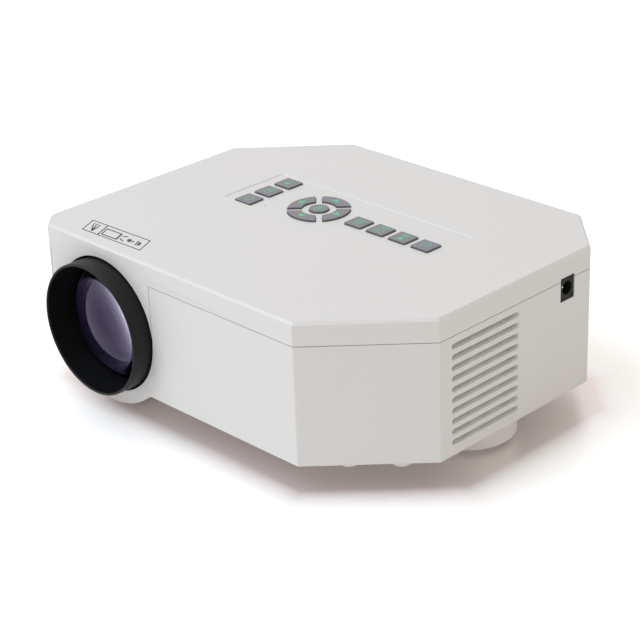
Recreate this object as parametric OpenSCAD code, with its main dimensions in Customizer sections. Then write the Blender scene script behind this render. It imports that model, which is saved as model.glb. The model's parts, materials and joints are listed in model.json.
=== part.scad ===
// Compact LED projector: an eight-sided white housing with a large focusing lens
// at the front left, a keypad on top, and an air outlet and a power inlet on the
// right. Frame: X to the right seen from the front, Y to the rear, Z up from the
// surface that the projector stands on. The origin is at the bottom centre of
// the whole box, lens ring included. All sizes are in millimetres.

/* [Housing] */
// Width of the housing, left to right
body_w = 202; // [201:0.5:203]
// Depth of the housing, front to rear
body_d = 159; // [158:0.5:160]
// Height of the housing without what it stands on
body_h = 63.6; // [63.4:0.2:64.4]
// Clearance under the base plate
base_z = 12.4; // [12:0.2:13]
// Height of the top cover's rim, from the split line to the top
cover_h = 10.2; // [9.6:0.2:10.2]
// Thickness of the side walls and the floor
wall = 2.3; // [2.1:0.1:2.4]
// Thickness of the top plate
top_t = 2.2; // [2:0.1:2.4]
// Rounding of the upright edges
edge_r = 1.2; // [1.1:0.1:3]
// Width of the bevel along the top edge
top_bevel = 1; // [0.6:0.1:1]
// Gap that shows as the split line
split_gap = 0.3; // [0.2:0.05:0.4]

/* [Corner cuts] */
// Cut of the front left corner
cut_fl = 8; // [7:0.5:9]
// Cut of the rear left corner, which follows the fold mirror
cut_rl = 41; // [39:0.5:41]
// Cut of the rear right corner
cut_rr = 24.5; // [23:0.5:25]
// Cut of the front right corner
cut_fr = 40.5; // [39:0.5:41]

/* [Lens] */
// Distance of the lens axis to the left of the centre
lens_left = 57; // [56.6:0.2:57.4]
// Height of the lens axis above the table
lens_z = 39; // [38.8:0.2:39.2]
// Outer radius of the focus ring
ring_r = 30; // [29.8:0.1:30.4]
// How far the focus ring stands out of the front face
ring_out = 9.4; // [8.6:0.2:10]
// Radial gap between the focus ring and the housing
ring_gap = 1; // [0.6:0.1:1.2]
// Outer radius of the lobe that carries the lower half of the lens
chin_r = 37.2; // [36.8:0.2:37.2]
// Length of that lobe, front to rear
chin_len = 42; // [41:0.5:44]
// Radius of the front glass
glass_r = 26.9; // [26.6:0.1:27]
// Radius of curvature of the front glass's outer surface
glass_curve = 48; // [46:1:60]
// Focusing travel of the lens barrel
focus_travel = 6; // [3:0.5:6]

/* [Air outlet] */
// Number of outlet slots
vent_n = 10; // [8:1:10]
// Pitch of the slots
vent_pitch = 4.75; // [4.4:0.05:4.8]
// Height of a slot
vent_h = 2.5; // [1.6:0.1:2.6]
// Length of a slot
vent_len = 41; // [36:0.2:41]
// Size of the square fan behind them
fan_size = 45; // [44:0.5:45]
// Thickness of the fan
fan_t = 12; // [10:0.5:12]

/* [Keys] */
// Width of a square key
key_w = 9.6; // [9:0.1:10]
// Depth of a square key
key_d = 9; // [8.6:0.1:9.4]
// How far a key stands out of the recess
key_proud = 0.9; // [0.7:0.1:1.2]
// Push travel of a key
key_travel = 0.5; // [0.3:0.05:0.5]
// Gap around a key
key_gap = 0.25; // [0.2:0.05:0.3]
// Outer radius of the ring of four keys
pad_r = 14.1; // [14:0.1:14.6]
// Inner radius of the ring of four keys
pad_in = 7.9; // [7.9:0.1:8.4]
// Width of the bars between the ring's keys
pad_bar = 3.2; // [3.1:0.1:3.4]
// Radius of the key at its centre
pad_disc = 4.4; // [4.4:0.1:4.8]
// Depth of the recess around the keys
recess_t = 0.4; // [0.2:0.1:0.5]

/* [Power inlet] */
// Width of the inlet's cut-out
jack_w = 9.1; // [8.9:0.1:9.4]
// Height of the inlet's cut-out
jack_h = 10.8; // [10.6:0.1:11]
// Radius of the inlet's round hole
jack_hole_r = 3; // [2.8:0.05:3.2]
// Radius of its centre pin
jack_pin_r = 1.05; // [0.9:0.05:1.25]

/* [Base] */
// Radius of the round speaker pod
pod_r = 21.3; // [21:0.1:21.6]
// Clearance under the pod and the legs
pod_z = 1.8; // [1.6:0.1:2]
// Radius of the rear legs
leg_r = 9; // [8:0.5:10]
// Radius of the tapped hole of the tripod bush, a quarter-inch thread
tripod_r = 2.55; // [2.5:0.05:2.6]
// Length of that hole
tripod_len = 9; // [8:0.5:10]

/* [Hidden] */
$fn = 96;

// colours
body_white = [0.87, 0.87, 0.86];
ring_black = [0.10, 0.10, 0.11];
key_grey = [0.60, 0.60, 0.62];
board_green = [0.10, 0.35, 0.22];
steel = [0.75, 0.75, 0.77];
dark_plastic = [0.13, 0.13, 0.14];
part_black = [0.18, 0.18, 0.19];
brass_gold = [0.80, 0.66, 0.35];
clear_glass = [0.75, 0.82, 0.85];
coated_glass = [0.45, 0.38, 0.58];

eps = 0.01;
// a cut runs this far past the face that it opens
past = 1;
sqrt2 = sqrt(2);

// the main planes of the housing, in its own frame, centred on X and Y
mid_y = ring_out / 2;
front_y = -body_d / 2;
rear_y = body_d / 2;
right_x = body_w / 2;
left_x = -body_w / 2;
top_z = base_z + body_h;
split_z = top_z - cover_h;
floor_z = base_z + wall;
ceiling_z = top_z - top_t;
low_bevel = 0.4;
apron_x = left_x + cut_fl + 1;
tongue_h = 2;

// lens stack, as depths behind the front face
lens_x = -lens_left;
hood_end = 3.4;
head_r = 28.04;
run_gap = 0.06;
head_front = 3.6;
head_rear = 11;
collar_rear = 20;
tube_r = 26;
sleeve_r = 27.4;
sleeve_front = 11.3;
sleeve_rear = 38;
tube_rear_r = 22;
tube_step = 34;
barrel_rear = 46;
web_r = 17;
web_front = 20;
web_rear = 22;
middle_r = 19;
rear_seat = 32;
rear_r = 20.9;
pin_depth = 18;
pin_r = 1.2;
flange_w = 64;
flange_h = 47;
flange_t = 3;
flange_bolt_x = 26;
flange_bolt_z = 15;

// optics: the light path comes from the right, folds at the mirror and leaves
// through the lens
box_wall = 2;
box_front = front_y + sleeve_rear;
box_left = lens_x - 30;
box_right = lens_x + 32;
fold_y = 32;
tunnel_w = 60;
tunnel_end = 6;
box_top = 2 * lens_z - floor_z;
mirror_l = 72;
mirror_t = 2.5;
plate_w = 55;
plate_list = [[-22, 2], [-14, 2.2], [-5, 2]];
plate_rib = 1.2;
lamp_w = 32;
lamp_tube_end = 34;
condenser_r = 13.6;
shoulder_r = 12.4;
condenser_x = 20;
lamp_flange_w = 44;
lamp_bolt_y = 19;
lamp_bolt_z = 12;
lamp_board_t = 1.6;
sink_base_t = 5;
sink_w = 50;
sink_fins = 8;
sink_fin_t = 1.4;
sink_end = 72;
sink_low = 16;
sink_top = 53.6;
lid_t = 2;
column_r = 3;

// boards
pcb_t = 1.6;
main_z = 54.9;
main_top = main_z + pcb_t;
main_posts = [[-38, 70], [22, 66], [80, 57], [76.3, 30], [15, 9]];
driver_z = 20;
driver_box = [[0, -66], [62, -14]];
driver_posts = [[4, -62], [58, -62], [4, -18], [58, -18]];
post_r = 3;
pilot_r = 1.2;
board_head_r = 2.2;
board_head_t = 1.6;
board_screw_l = 5;

// rear sockets: centre in X and width
av_x = -30;
av_w = 8;
av_hole_r = 1.8;
usb_x = -11;
usb_w = 14.5;
usb_h = 7;
hdmi_x = 9;
hdmi_w = 15;
hdmi_h = 5.6;
vga_x = 44;
vga_w = 31;
vga_h = 12.4;
socket_gap = 0.3;
ir_x = -50;
ir_z = 40;
ir_r = 3.4;

// case screws: long posts in the tray, heads deep inside them
screw_sites = [
  [left_x + 7.5, -52], [left_x + 7, 30], [-62, 62], [66, 69],
  [92.5, 24], [83.9, -43.6], [20, -72], [-20, -72]
];
case_post_r = 3.8;
case_head_r = 2.8;
case_head_t = 2;
case_shank_r = 1.5;
case_seat_z = 50;
case_screw_l = 20;

// short studs under the front right edge, and the rear legs
stud_sites = [[68.1, -57.9], [83.9, -43.6], [92.3, -23.5]];
stud_r = 4.2;
stud_h = 4.4;
leg_sites = [[-62, 46], [57, 58]];
pad_seat = 0.6;
pad_foot_r = 6.5;
chin_pad = [12, 16];
chin_pad_y = front_y + 9;
chin_pad_top = 2.6;
tripod_site = [-10, -8];
tripod_bush_r = 5;
tripod_boss_r = 8;

// speaker pod
pod_site = [right_x - 24.7, 5];
pod_wall = 2.3;
pod_floor = 2;
pod_round = 1;
pod_pad_r = 3.5;
pod_pad_ring = 14;
pod_pad_turns = [15, 135, 255];
cone_r = 15;
speaker_r = 18;

// air outlet and fan
vent_y = -11.7;
vent_low_z = 17.2;
vent_z = vent_low_z + ((vent_n - 1) * vent_pitch + vent_h) / 2;
rib_sites = [-15, -2.4];
grille_t = 1.4;
fan_front = right_x - wall - 2.5;
fan_back = fan_front - fan_t;
fan_y = -12;
fan_z = 39.3;
fan_bore_r = 20.6;
rotor_r = 19.8;
hub_r = 10;
blade_n = 7;
shaft_r = 1;
bearing_gap = 0.04;
rail_t = 2;

// keypad
pad_x = -14.2;
pad_y = 10.1;
row_x0 = 10.3;
row_pitch = 12.95;
column_x = -46.2;
column_y0 = -2.1;
column_pitch = 12.3;
key_corner = 0.5;
flange_grow = 1;
flange_key_t = 0.8;
key_top_z = top_z - recess_t + key_proud;
key_flange_top = ceiling_z - 0.1;
key_flange_low = key_flange_top - flange_key_t;
stem_r = 1.6;
stem_reach = 0.9;
well_r = 1.75;
well_gap = 0.1;
switch_w = 6;
switch_h = 3.1;
switch_top = key_flange_low - key_travel - 0.1;
key_board_top = switch_top - switch_h;
key_board_t = 1.2;
key_board_box = [[-58, -8.5], [60, 31.5]];
key_board_posts = [[-55, -4], [-55, 27], [57, -4], [57, 27]];
recess_low = [-57.8, -7];
recess_high = [58.4, 30.3];
recess_corner = 2;
led_site = [-35.9, -1.7];
led_r = 1.5;
pinhole_r = 0.5;
pad_mid = (pad_r + pad_in) / 2;
square_sites = concat(
  [for (i = [0:2]) [column_x, column_y0 + i * column_pitch]],
  [for (i = [0:3]) [row_x0 + i * row_pitch, pad_y]]
);
pad_sites = [for (a = [0:90:270]) [pad_x + pad_mid * cos(a), pad_y + pad_mid * sin(a)]];
key_sites = concat(square_sites, pad_sites, [[pad_x, pad_y]]);

// power inlet
jack_y = 40;
jack_z = main_top + jack_h / 2;
jack_depth = 9.5;
jack_body_l = 13;
jack_set_back = 0.4;
jack_pin_depth = 3.5;
// side contact of the inlet, beside its round hole
contact_low = [-3.35, 0.55];
contact_high = [-2.65, 1.45];
contact_l = 6;

// ---- shared shapes ----

module at_body() {
  translate([0, mid_y, 0]) children();
}

// the eight corners of the housing in plan, moved in by t
function cut_in(cut, t) = cut - t * (2 - sqrt2);
function plan_points(t) =
  let (x = right_x - t, y = rear_y - t)
  [
    [-x, -y + cut_in(cut_fl, t)],
    [-x + cut_in(cut_fl, t), -y],
    [x - cut_in(cut_fr, t), -y],
    [x, -y + cut_in(cut_fr, t)],
    [x, y - cut_in(cut_rr, t)],
    [x - cut_in(cut_rr, t), y],
    [-x + cut_in(cut_rl, t), y],
    [-x, y - cut_in(cut_rl, t)]
  ];

module plan_prism(t, z0, z1) {
  translate([0, 0, z0]) linear_extrude(z1 - z0) polygon(plan_points(t));
}

// solid housing block with rounded upright edges and a bevelled rim above or below
module rounded_block(z0, z1, low, high) {
  hull()
    for (p = plan_points(edge_r)) {
      translate([p.x, p.y, z0 + low]) cylinder(r = edge_r, h = z1 - high - z0 - low, $fn = 32);
      translate([p.x, p.y, z0]) cylinder(r = edge_r - low - high, h = z1 - z0, $fn = 32);
    }
}

module box(low, high) {
  translate(low) cube(high - low);
}

module disc(site, r, z0, z1) {
  translate([site.x, site.y, z0]) cylinder(r = r, h = z1 - z0);
}

// flat rectangle with round corners, between two corners in plan
module round_plate(low, high, r, z0, z1) {
  translate([0, 0, z0]) linear_extrude(z1 - z0) {
    translate([low.x + r, low.y]) square([high.x - low.x - 2 * r, high.y - low.y]);
    translate([low.x, low.y + r]) square([high.x - low.x, high.y - low.y - 2 * r]);
    for (x = [low.x + r, high.x - r])
      for (y = [low.y + r, high.y - r])
        translate([x, y]) circle(r = r, $fn = 32);
  }
}

// children drawn along the lens axis: their Z runs to the rear from the front face
module on_lens_axis(depth = 0) {
  translate([lens_x, front_y + depth, lens_z]) rotate([-90, 0, 0]) children();
}

module lens_rod(r, d0, d1) {
  on_lens_axis(d0) cylinder(r = r, h = d1 - d0);
}

module lens_pipe(r_out, r_in, d0, d1) {
  difference() {
    lens_rod(r_out, d0, d1);
    lens_rod(r_in, d0 - past, d1 + past);
  }
}

// children drawn along +X: their Z runs to the right
module along_x(x, y, z) {
  translate([x, y, z]) rotate([0, 90, 0]) children();
}

// children drawn along +Y: their Z runs to the rear
module along_y(x, y, z) {
  translate([x, y, z]) rotate([-90, 0, 0]) children();
}

// the part of the front wall that belongs to the top cover, grown by g
module apron_zone(g) {
  x0 = apron_x - g;
  x1 = lens_x + ring_r + ring_gap + g;
  box([x0, front_y - past, lens_z - g], [x1, front_y + wall + eps, split_z + past]);
}

// a flat twin lead along a list of points, each run parallel to an axis
module lead(points, half) {
  for (i = [0:len(points) - 2]) {
    a = points[i];
    b = points[i + 1];
    low = [min(a.x, b.x), min(a.y, b.y), min(a.z, b.z)];
    high = [max(a.x, b.x), max(a.y, b.y), max(a.z, b.z)];
    box(low - [half, half, half], high + [half, half, half]);
  }
}

// ---- housing ----

module socket_cutouts() {
  y0 = rear_y - wall - past;
  y1 = rear_y + past;
  g = socket_gap;
  along_y(av_x, y0, main_top + 3.4) cylinder(r = 3.6, h = wall + 2 * past);
  box([usb_x - usb_w / 2 - g, y0, main_top - g], [usb_x + usb_w / 2 + g, y1, main_top + usb_h + g]);
  box([hdmi_x - hdmi_w / 2 - g, y0, main_top - g], [hdmi_x + hdmi_w / 2 + g, y1, main_top + hdmi_h + g]);
  box([vga_x - vga_w / 2 - g, y0, main_top - g], [vga_x + vga_w / 2 + g, y1, main_top + vga_h + g]);
  box(
    [right_x - wall - past, jack_y - jack_w / 2, jack_z - jack_h / 2],
    [right_x + past, jack_y + jack_w / 2, jack_z + jack_h / 2]
  );
}

// a row of air slots through a side wall, cut from x0 to x1
module air_slots(x0, x1, y) {
  r = vent_h / 2;
  half = vent_len / 2 - r;
  for (i = [0:vent_n - 1]) {
    z = vent_low_z + i * vent_pitch + r;
    box([x0, y - half, z - r], [x1, y + half, z + r]);
    for (s = [-1, 1]) along_x(x0, y + s * half, z) cylinder(r = r, h = x1 - x0, $fn = 24);
  }
}

module top_cover() color(body_white) at_body() {
  difference() {
    union() {
      difference() {
        rounded_block(split_z + split_gap / 2, top_z, 0, top_bevel);
        plan_prism(wall, split_z - past, ceiling_z);
        plan_prism(wall / 2 - 0.05, split_z - past, split_z + tongue_h + 0.2);
      }
      // the apron around the upper half of the lens
      box(
        [apron_x + split_gap / 2, front_y, lens_z + split_gap / 2],
        [lens_x + ring_r + ring_gap - split_gap / 2, front_y + wall, split_z + tongue_h + 0.3]
      );
      for (s = screw_sites) disc(s, case_post_r, split_z + split_gap / 2, ceiling_z + eps);
      for (s = key_board_posts) disc(s, 2.6, key_board_top, ceiling_z + eps);
    }
    lens_rod(ring_r + ring_gap, -past, wall + past);
    round_plate(recess_low, recess_high, recess_corner, top_z - recess_t, top_z + past);
    for (s = square_sites)
      round_plate(
        s - [key_w / 2 + key_gap, key_d / 2 + key_gap], s + [key_w / 2 + key_gap, key_d / 2 + key_gap],
        key_corner + key_gap, ceiling_z - past, top_z + past
      );
    for (a = [0:90:270])
      translate([pad_x, pad_y, ceiling_z - past]) linear_extrude(top_t + 2 * past) pad_sector(a, key_gap);
    disc([pad_x, pad_y], pad_disc + key_gap, ceiling_z - past, top_z + past);
    disc(led_site, pinhole_r, ceiling_z - past, top_z + past);
    for (s = screw_sites) disc(s, case_shank_r, split_z - past, case_seat_z + case_screw_l + 0.4);
    for (s = key_board_posts) disc(s, pilot_r, key_board_top - past, key_board_top + 4);
    socket_cutouts();
  }
}

module tray_posts() {
  for (s = screw_sites) disc(s, case_post_r, base_z + eps, split_z - split_gap / 2);
  for (s = main_posts) disc(s, post_r, floor_z - eps, main_z);
  for (s = driver_posts) disc(s, post_r, floor_z - eps, driver_z);
  disc(tripod_site, tripod_boss_r, floor_z - eps, base_z + tripod_len + 2);
  // rests for the heat sink
  for (y = [fold_y - 12, fold_y + 12]) box([40, y - 1, floor_z - eps], [52, y + 1, sink_low]);
}

// thicker wall around the outlet's slots
module outlet_grille() {
  half = vent_len / 2 + 1.5;
  box(
    [right_x - wall - grille_t, vent_y - half, floor_z - eps],
    [right_x - wall + eps, vent_y + half, 2 * vent_z - vent_low_z + 1]
  );
}

// cradle for the fan: a shelf and two rails on the outlet wall, and the two
// upright ribs that cross the slots
module fan_cradle() {
  x1 = right_x - wall + eps;
  y0 = fan_y - fan_size / 2 - 0.2;
  y1 = fan_y + fan_size / 2 + 0.2;
  z0 = fan_z - fan_size / 2 - 0.1;
  box([fan_back - 2, y0 - rail_t, z0 - 1.4], [x1, y1 + rail_t, z0]);
  box([fan_back - 2, y0 - rail_t, z0 - 1.4], [x1, y0, fan_z + 12]);
  box([fan_back - 2, y1, z0 - 1.4], [x1, y1 + rail_t, fan_z + 12]);
  box([fan_back - 2, y0 - rail_t, z0 - 1.4], [fan_back - 0.1, y0 + 2, fan_z + 12]);
  box([fan_back - 2, y1 - 2, z0 - 1.4], [fan_back - 0.1, y1 + rail_t, fan_z + 12]);
  for (y = rib_sites) box([fan_front + 0.1, y - 0.6, z0], [x1, y + 0.6, fan_z + fan_size / 2]);
}

module pod_outside() {
  r = pod_r - pod_round;
  translate([pod_site.x, pod_site.y, 0]) rotate_extrude() {
    translate([0, pod_z]) square([r, floor_z - pod_z]);
    translate([0, pod_z + pod_round]) square([pod_r, floor_z - pod_z - pod_round]);
    translate([r, pod_z + pod_round]) circle(r = pod_round);
  }
}

// lobe around the lens, open towards the inside
module chin() {
  intersection() {
    lens_rod(chin_r, 0, chin_len);
    box([apron_x - 0.5, front_y - past, 0], [0, 0, split_z - split_gap / 2]);
  }
}

module bottom_tray() color(body_white) at_body() difference() {
  union() {
    difference() {
      union() {
        rounded_block(base_z, split_z - split_gap / 2, low_bevel, 0);
        chin();
        pod_outside();
        for (s = leg_sites) disc(s, leg_r, pod_z, floor_z);
        for (s = stud_sites) disc(s, stud_r, base_z - stud_h, floor_z);
      }
      plan_prism(wall, floor_z, split_z + past);
      intersection() {
        lens_rod(chin_r - wall, wall, chin_len - wall);
        box([lens_x - chin_r, front_y, 0], [lens_x + chin_r, 0, split_z]);
      }
      disc(pod_site, pod_r - pod_wall, pod_z + pod_floor, floor_z + past);
      apron_zone(split_gap / 2);
    }
    // tongue that lines up the cover
    difference() {
      plan_prism(wall / 2 + 0.05, split_z - 4, split_z + tongue_h);
      plan_prism(wall, split_z - 5, split_z + tongue_h + past);
      apron_zone(3);
      box([left_x - past, front_y - past, split_z - 5], [right_x, front_y + wall, split_z + 5]);
    }
    tray_posts();
    outlet_grille();
    fan_cradle();
  }
  lens_rod(ring_r + ring_gap, -past, wall + past);
  air_slots(right_x - wall - grille_t - 0.05, right_x + past, vent_y);
  air_slots(left_x - past, left_x + wall + past, 0);
  socket_cutouts();
  for (s = screw_sites) {
    disc(s, case_head_r + 0.2, -past, case_seat_z + case_head_t);
    disc(s, case_shank_r + 0.2, case_seat_z, split_z + past);
  }
  for (s = main_posts) disc(s, pilot_r, main_z - board_screw_l, main_z + past);
  for (s = driver_posts) disc(s, pilot_r, driver_z - board_screw_l, driver_z + past);
  disc(tripod_site, tripod_bush_r, base_z - past, base_z + tripod_len);
  along_y(ir_x, rear_y - wall - past, ir_z) cylinder(r = ir_r, h = wall + 2 * past);
  // speaker holes
  for (ring = [0, 4, 8])
    for (k = [0:max(0, ring * 1.5 - 1)])
      disc(
        pod_site + ring * [cos(k * 240 / max(ring, 1)), sin(k * 240 / max(ring, 1))],
        1.25, pod_z - past, pod_z + pod_floor + past
      );
  // seats of the rubber pads
  for (a = pod_pad_turns) disc(pod_site + pod_pad_ring * [cos(a), sin(a)], pod_pad_r, 0, pod_z + pad_seat);
  for (s = leg_sites) disc(s, pad_foot_r, 0, pod_z + pad_seat);
  box(
    [lens_x - chin_pad.x / 2, chin_pad_y, 0],
    [lens_x + chin_pad.x / 2, chin_pad_y + chin_pad.y, chin_pad_top]
  );
}

module rubber_feet() color(part_black) at_body() {
  for (a = pod_pad_turns) disc(pod_site + pod_pad_ring * [cos(a), sin(a)], pod_pad_r, 0, pod_z + pad_seat);
  for (s = leg_sites) disc(s, pad_foot_r, 0, pod_z + pad_seat);
  box(
    [lens_x - chin_pad.x / 2, chin_pad_y, 0],
    [lens_x + chin_pad.x / 2, chin_pad_y + chin_pad.y, chin_pad_top]
  );
}

module tripod_insert() color(brass_gold) at_body() difference() {
  disc(tripod_site, tripod_bush_r, base_z, base_z + tripod_len);
  disc(tripod_site, tripod_r, base_z - past, base_z + tripod_len + past);
}

module case_screws() color(steel) at_body() for (s = screw_sites) difference() {
  union() {
    disc(s, case_head_r, case_seat_z, case_seat_z + case_head_t);
    disc(s, case_shank_r, case_seat_z, case_seat_z + case_screw_l);
  }
  for (a = [0, 90])
    translate([s.x, s.y, case_seat_z]) rotate(a) cube([3, 0.7, 2], center = true);
}

// ---- keypad ----

// one key of the ring, pointing along angle a, grown by g
module pad_sector(a, g) {
  rotate(a) intersection() {
    difference() {
      circle(r = pad_r + g);
      circle(r = pad_in - g);
      for (d = [45, -45]) rotate(d) square([60, pad_bar - 2 * g], center = true);
    }
    polygon([[0, 0], [40, 40], [40, -40]]);
  }
}

module key_stem(site) {
  disc(site, stem_r, key_flange_low - stem_reach, key_flange_low + eps);
}

module square_key(i) color(key_grey) at_body() {
  s = square_sites[i];
  cap = [key_w / 2, key_d / 2];
  rim = cap + [flange_grow, flange_grow];
  round_plate(s - cap, s + cap, key_corner, key_flange_low, key_top_z);
  round_plate(s - rim, s + rim, key_corner, key_flange_low, key_flange_top);
  key_stem(s);
}

module sector_key(a) color(key_grey) at_body() {
  translate([pad_x, pad_y, key_flange_low]) {
    linear_extrude(key_top_z - key_flange_low) pad_sector(a, 0);
    linear_extrude(flange_key_t) pad_sector(a, flange_grow);
  }
  key_stem([pad_x, pad_y] + pad_mid * [cos(a), sin(a)]);
}

module power_key() square_key(0);
module source_key() square_key(1);
module mute_key() square_key(2);
module menu_key() square_key(3);
module aspect_key() square_key(4);
module play_key() square_key(5);
module back_key() square_key(6);
module right_key() sector_key(0);
module up_key() sector_key(90);
module left_key() sector_key(180);
module down_key() sector_key(270);

module ok_key() color(key_grey) at_body() {
  s = [pad_x, pad_y];
  disc(s, pad_disc, key_flange_low, key_top_z);
  disc(s, pad_disc + flange_grow, key_flange_low, key_flange_top);
  key_stem(s);
}

module key_board() color(board_green) at_body() difference() {
  round_plate(key_board_box[0], key_board_box[1], 2, key_board_top - key_board_t, key_board_top);
  for (s = key_board_posts) disc(s, pilot_r, key_board_top - 5, key_board_top + past);
}

module tact_switches() color(part_black) at_body() for (s = key_sites) difference() {
  box(
    [s.x - switch_w / 2, s.y - switch_w / 2, key_board_top],
    [s.x + switch_w / 2, s.y + switch_w / 2, switch_top]
  );
  disc(s, well_r, key_flange_low - stem_reach - key_travel - well_gap, switch_top + past);
}

module status_led() color([0.9, 0.9, 0.85]) at_body() {
  disc(led_site, led_r, key_board_top, ceiling_z - 1.7);
  translate([led_site.x, led_site.y, ceiling_z - 1.7]) sphere(r = led_r, $fn = 48);
  disc(led_site, led_r + 0.35, key_board_top, key_board_top + 0.8);
}

// ---- boards and sockets ----

module main_board() color(board_green) at_body() difference() {
  translate([0, 0, main_z]) linear_extrude(pcb_t) polygon([
    [-44, 63.5], [8, 63.5], [8, 5], [80, 5], [80, 34], [97, 34], [97, 50], [73, 74], [73, 76.5], [-44, 76.5]
  ]);
  disc(screw_sites[3], case_post_r + 0.6, main_z - past, main_top + past);
  for (s = main_posts) disc(s, pilot_r, main_z - past, main_top + past);
}

module main_chip() color(part_black) at_body() {
  box([40, 18, main_top], [60, 38, main_top + 1.8]);
}

module capacitors() color([0.25, 0.27, 0.32]) at_body() {
  for (x = [66, 74]) disc([x, 17], 3.15, main_top, main_top + 9);
  for (x = [34, 47]) disc([x, -54], 5, driver_z + pcb_t, driver_z + pcb_t + 16);
}

module board_connectors() color([0.9, 0.88, 0.8]) at_body() {
  box([10.5, fold_y - 8, main_top], [13.5, fold_y + 8, main_top + 2]);
  box([28.5, 10, main_top], [31.5, 22, main_top + 2]);
  box([28.5, 10, key_board_top - key_board_t - 2], [31.5, 22, key_board_top - key_board_t]);
  box([73, 6, main_top], [79, 10, main_top + 5]);
  box([51, 6, main_top], [57, 10, main_top + 5]);
  box([28, -24, driver_z + pcb_t], [36, -20, driver_z + pcb_t + 6]);
}

module av_jack() color(part_black) at_body() difference() {
  union() {
    box([av_x - av_w / 2, rear_y - wall - 13.5, main_top], [av_x + av_w / 2, rear_y - wall - 0.2, main_top + 6.8]);
    along_y(av_x, rear_y - wall - 0.2, main_top + 3.4) cylinder(r = 3.3, h = wall);
  }
  along_y(av_x, rear_y - 14.5, main_top + 3.4) cylinder(r = av_hole_r, h = 16);
}

module usb_socket() color(steel) at_body() {
  y1 = rear_y - 0.3;
  difference() {
    box([usb_x - usb_w / 2, y1 - 13, main_top], [usb_x + usb_w / 2, y1, main_top + usb_h]);
    box([usb_x - usb_w / 2 + 0.5, y1 - 12, main_top + 0.5], [usb_x + usb_w / 2 - 0.5, y1 + 1, main_top + usb_h - 0.5]);
  }
  // contact tongue
  box([usb_x - 6, y1 - 12.5, main_top + usb_h - 2.9], [usb_x + 6, y1 - 1, main_top + usb_h - 1]);
}

module hdmi_socket() color(steel) at_body() {
  y1 = rear_y - 0.3;
  shape = [
    [-hdmi_w / 2, hdmi_h], [-hdmi_w / 2, 2], [-hdmi_w / 2 + 2, 0], [hdmi_w / 2 - 2, 0], [hdmi_w / 2, 2], [hdmi_w / 2, hdmi_h]
  ];
  along_y(hdmi_x, y1 - 12, main_top) mirror([0, 1, 0]) difference() {
    linear_extrude(12) polygon(shape);
    translate([0, 0, 1]) linear_extrude(12) polygon([
      [-hdmi_w / 2 + 0.5, hdmi_h - 0.5], [-hdmi_w / 2 + 0.5, 2.2], [-hdmi_w / 2 + 2.2, 0.5],
      [hdmi_w / 2 - 2.2, 0.5], [hdmi_w / 2 - 0.5, 2.2], [hdmi_w / 2 - 0.5, hdmi_h - 0.5]
    ]);
  }
  box([hdmi_x - 5.6, y1 - 11.5, main_top + 2.3], [hdmi_x + 5.6, y1 - 1, main_top + 3.3]);
}

module vga_socket() color([0.2, 0.3, 0.6]) at_body() {
  y1 = rear_y - 0.6;
  z = main_top + vga_h / 2;
  difference() {
    union() {
      box([vga_x - vga_w / 2, y1 - 1.6, main_top], [vga_x + vga_w / 2, y1, main_top + vga_h]);
      box([vga_x - 10, y1 - 10, main_top], [vga_x + 10, y1 - 1.6 + eps, main_top + vga_h - 1]);
    }
    // D-shaped mouth
    along_y(vga_x, y1 - 5, z) mirror([0, 1, 0]) linear_extrude(7) polygon([
      [-8, 3.9], [8, 3.9], [7, -3.9], [-7, -3.9]
    ]);
    for (s = [-1, 1]) along_y(vga_x + s * 12.5, y1 - 3, z) cylinder(r = 1.3, h = 5);
  }
  // contact block inside the mouth
  along_y(vga_x, y1 - 5.5, z) mirror([0, 1, 0]) linear_extrude(4) polygon([[-7.2, 3], [7.2, 3], [6.3, -3], [-6.3, -3]]);
}

module dc_jack() color(part_black) at_body() {
  x1 = right_x - jack_set_back;
  half = jack_w / 2 - 0.2;
  difference() {
    box([x1 - jack_body_l, jack_y - half, main_top], [x1, jack_y + half, jack_z + jack_h / 2 - 0.2]);
    along_x(x1 - jack_depth, jack_y, jack_z) cylinder(r = jack_hole_r, h = jack_depth + past);
    box(
      [x1 - contact_l, jack_y + contact_low.x, jack_z + contact_low.y],
      [x1 + past, jack_y - jack_hole_r / 2, jack_z + contact_high.y]
    );
  }
}

module dc_contacts() color(steel) at_body() {
  x1 = right_x - jack_set_back;
  along_x(x1 - jack_depth, jack_y, jack_z) cylinder(r = jack_pin_r, h = jack_depth - jack_pin_depth);
  box(
    [x1 - contact_l, jack_y + contact_low.x, jack_z + contact_low.y],
    [x1 - 0.3, jack_y + contact_high.x, jack_z + contact_high.y]
  );
}

module ir_window() color([0.25, 0.05, 0.1]) at_body() {
  along_y(ir_x, rear_y - wall, ir_z) cylinder(r = ir_r, h = wall);
  along_y(ir_x, rear_y - wall - 1, ir_z) cylinder(r = ir_r + 1, h = 1);
}

module ir_receiver() color(part_black) at_body() {
  y1 = rear_y - wall - 1;
  box([ir_x - 3, y1 - 4.5, ir_z - 3.4], [ir_x + 3, y1 - 1.3, ir_z + 3.4]);
  along_y(ir_x, y1 - 2, ir_z) cylinder(r = 2.2, h = 2);
}

module driver_board() color(board_green) at_body() difference() {
  box([driver_box[0].x, driver_box[0].y, driver_z], [driver_box[1].x, driver_box[1].y, driver_z + pcb_t]);
  for (s = driver_posts) disc(s, pilot_r, driver_z - past, driver_z + pcb_t + past);
}

module driver_inductor() color([0.65, 0.4, 0.2]) at_body() {
  translate([16, -44, driver_z + pcb_t + 4.5]) rotate_extrude() translate([7, 0]) circle(r = 4);
  disc([16, -44], 8, driver_z + pcb_t, driver_z + pcb_t + 1.2);
}

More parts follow.
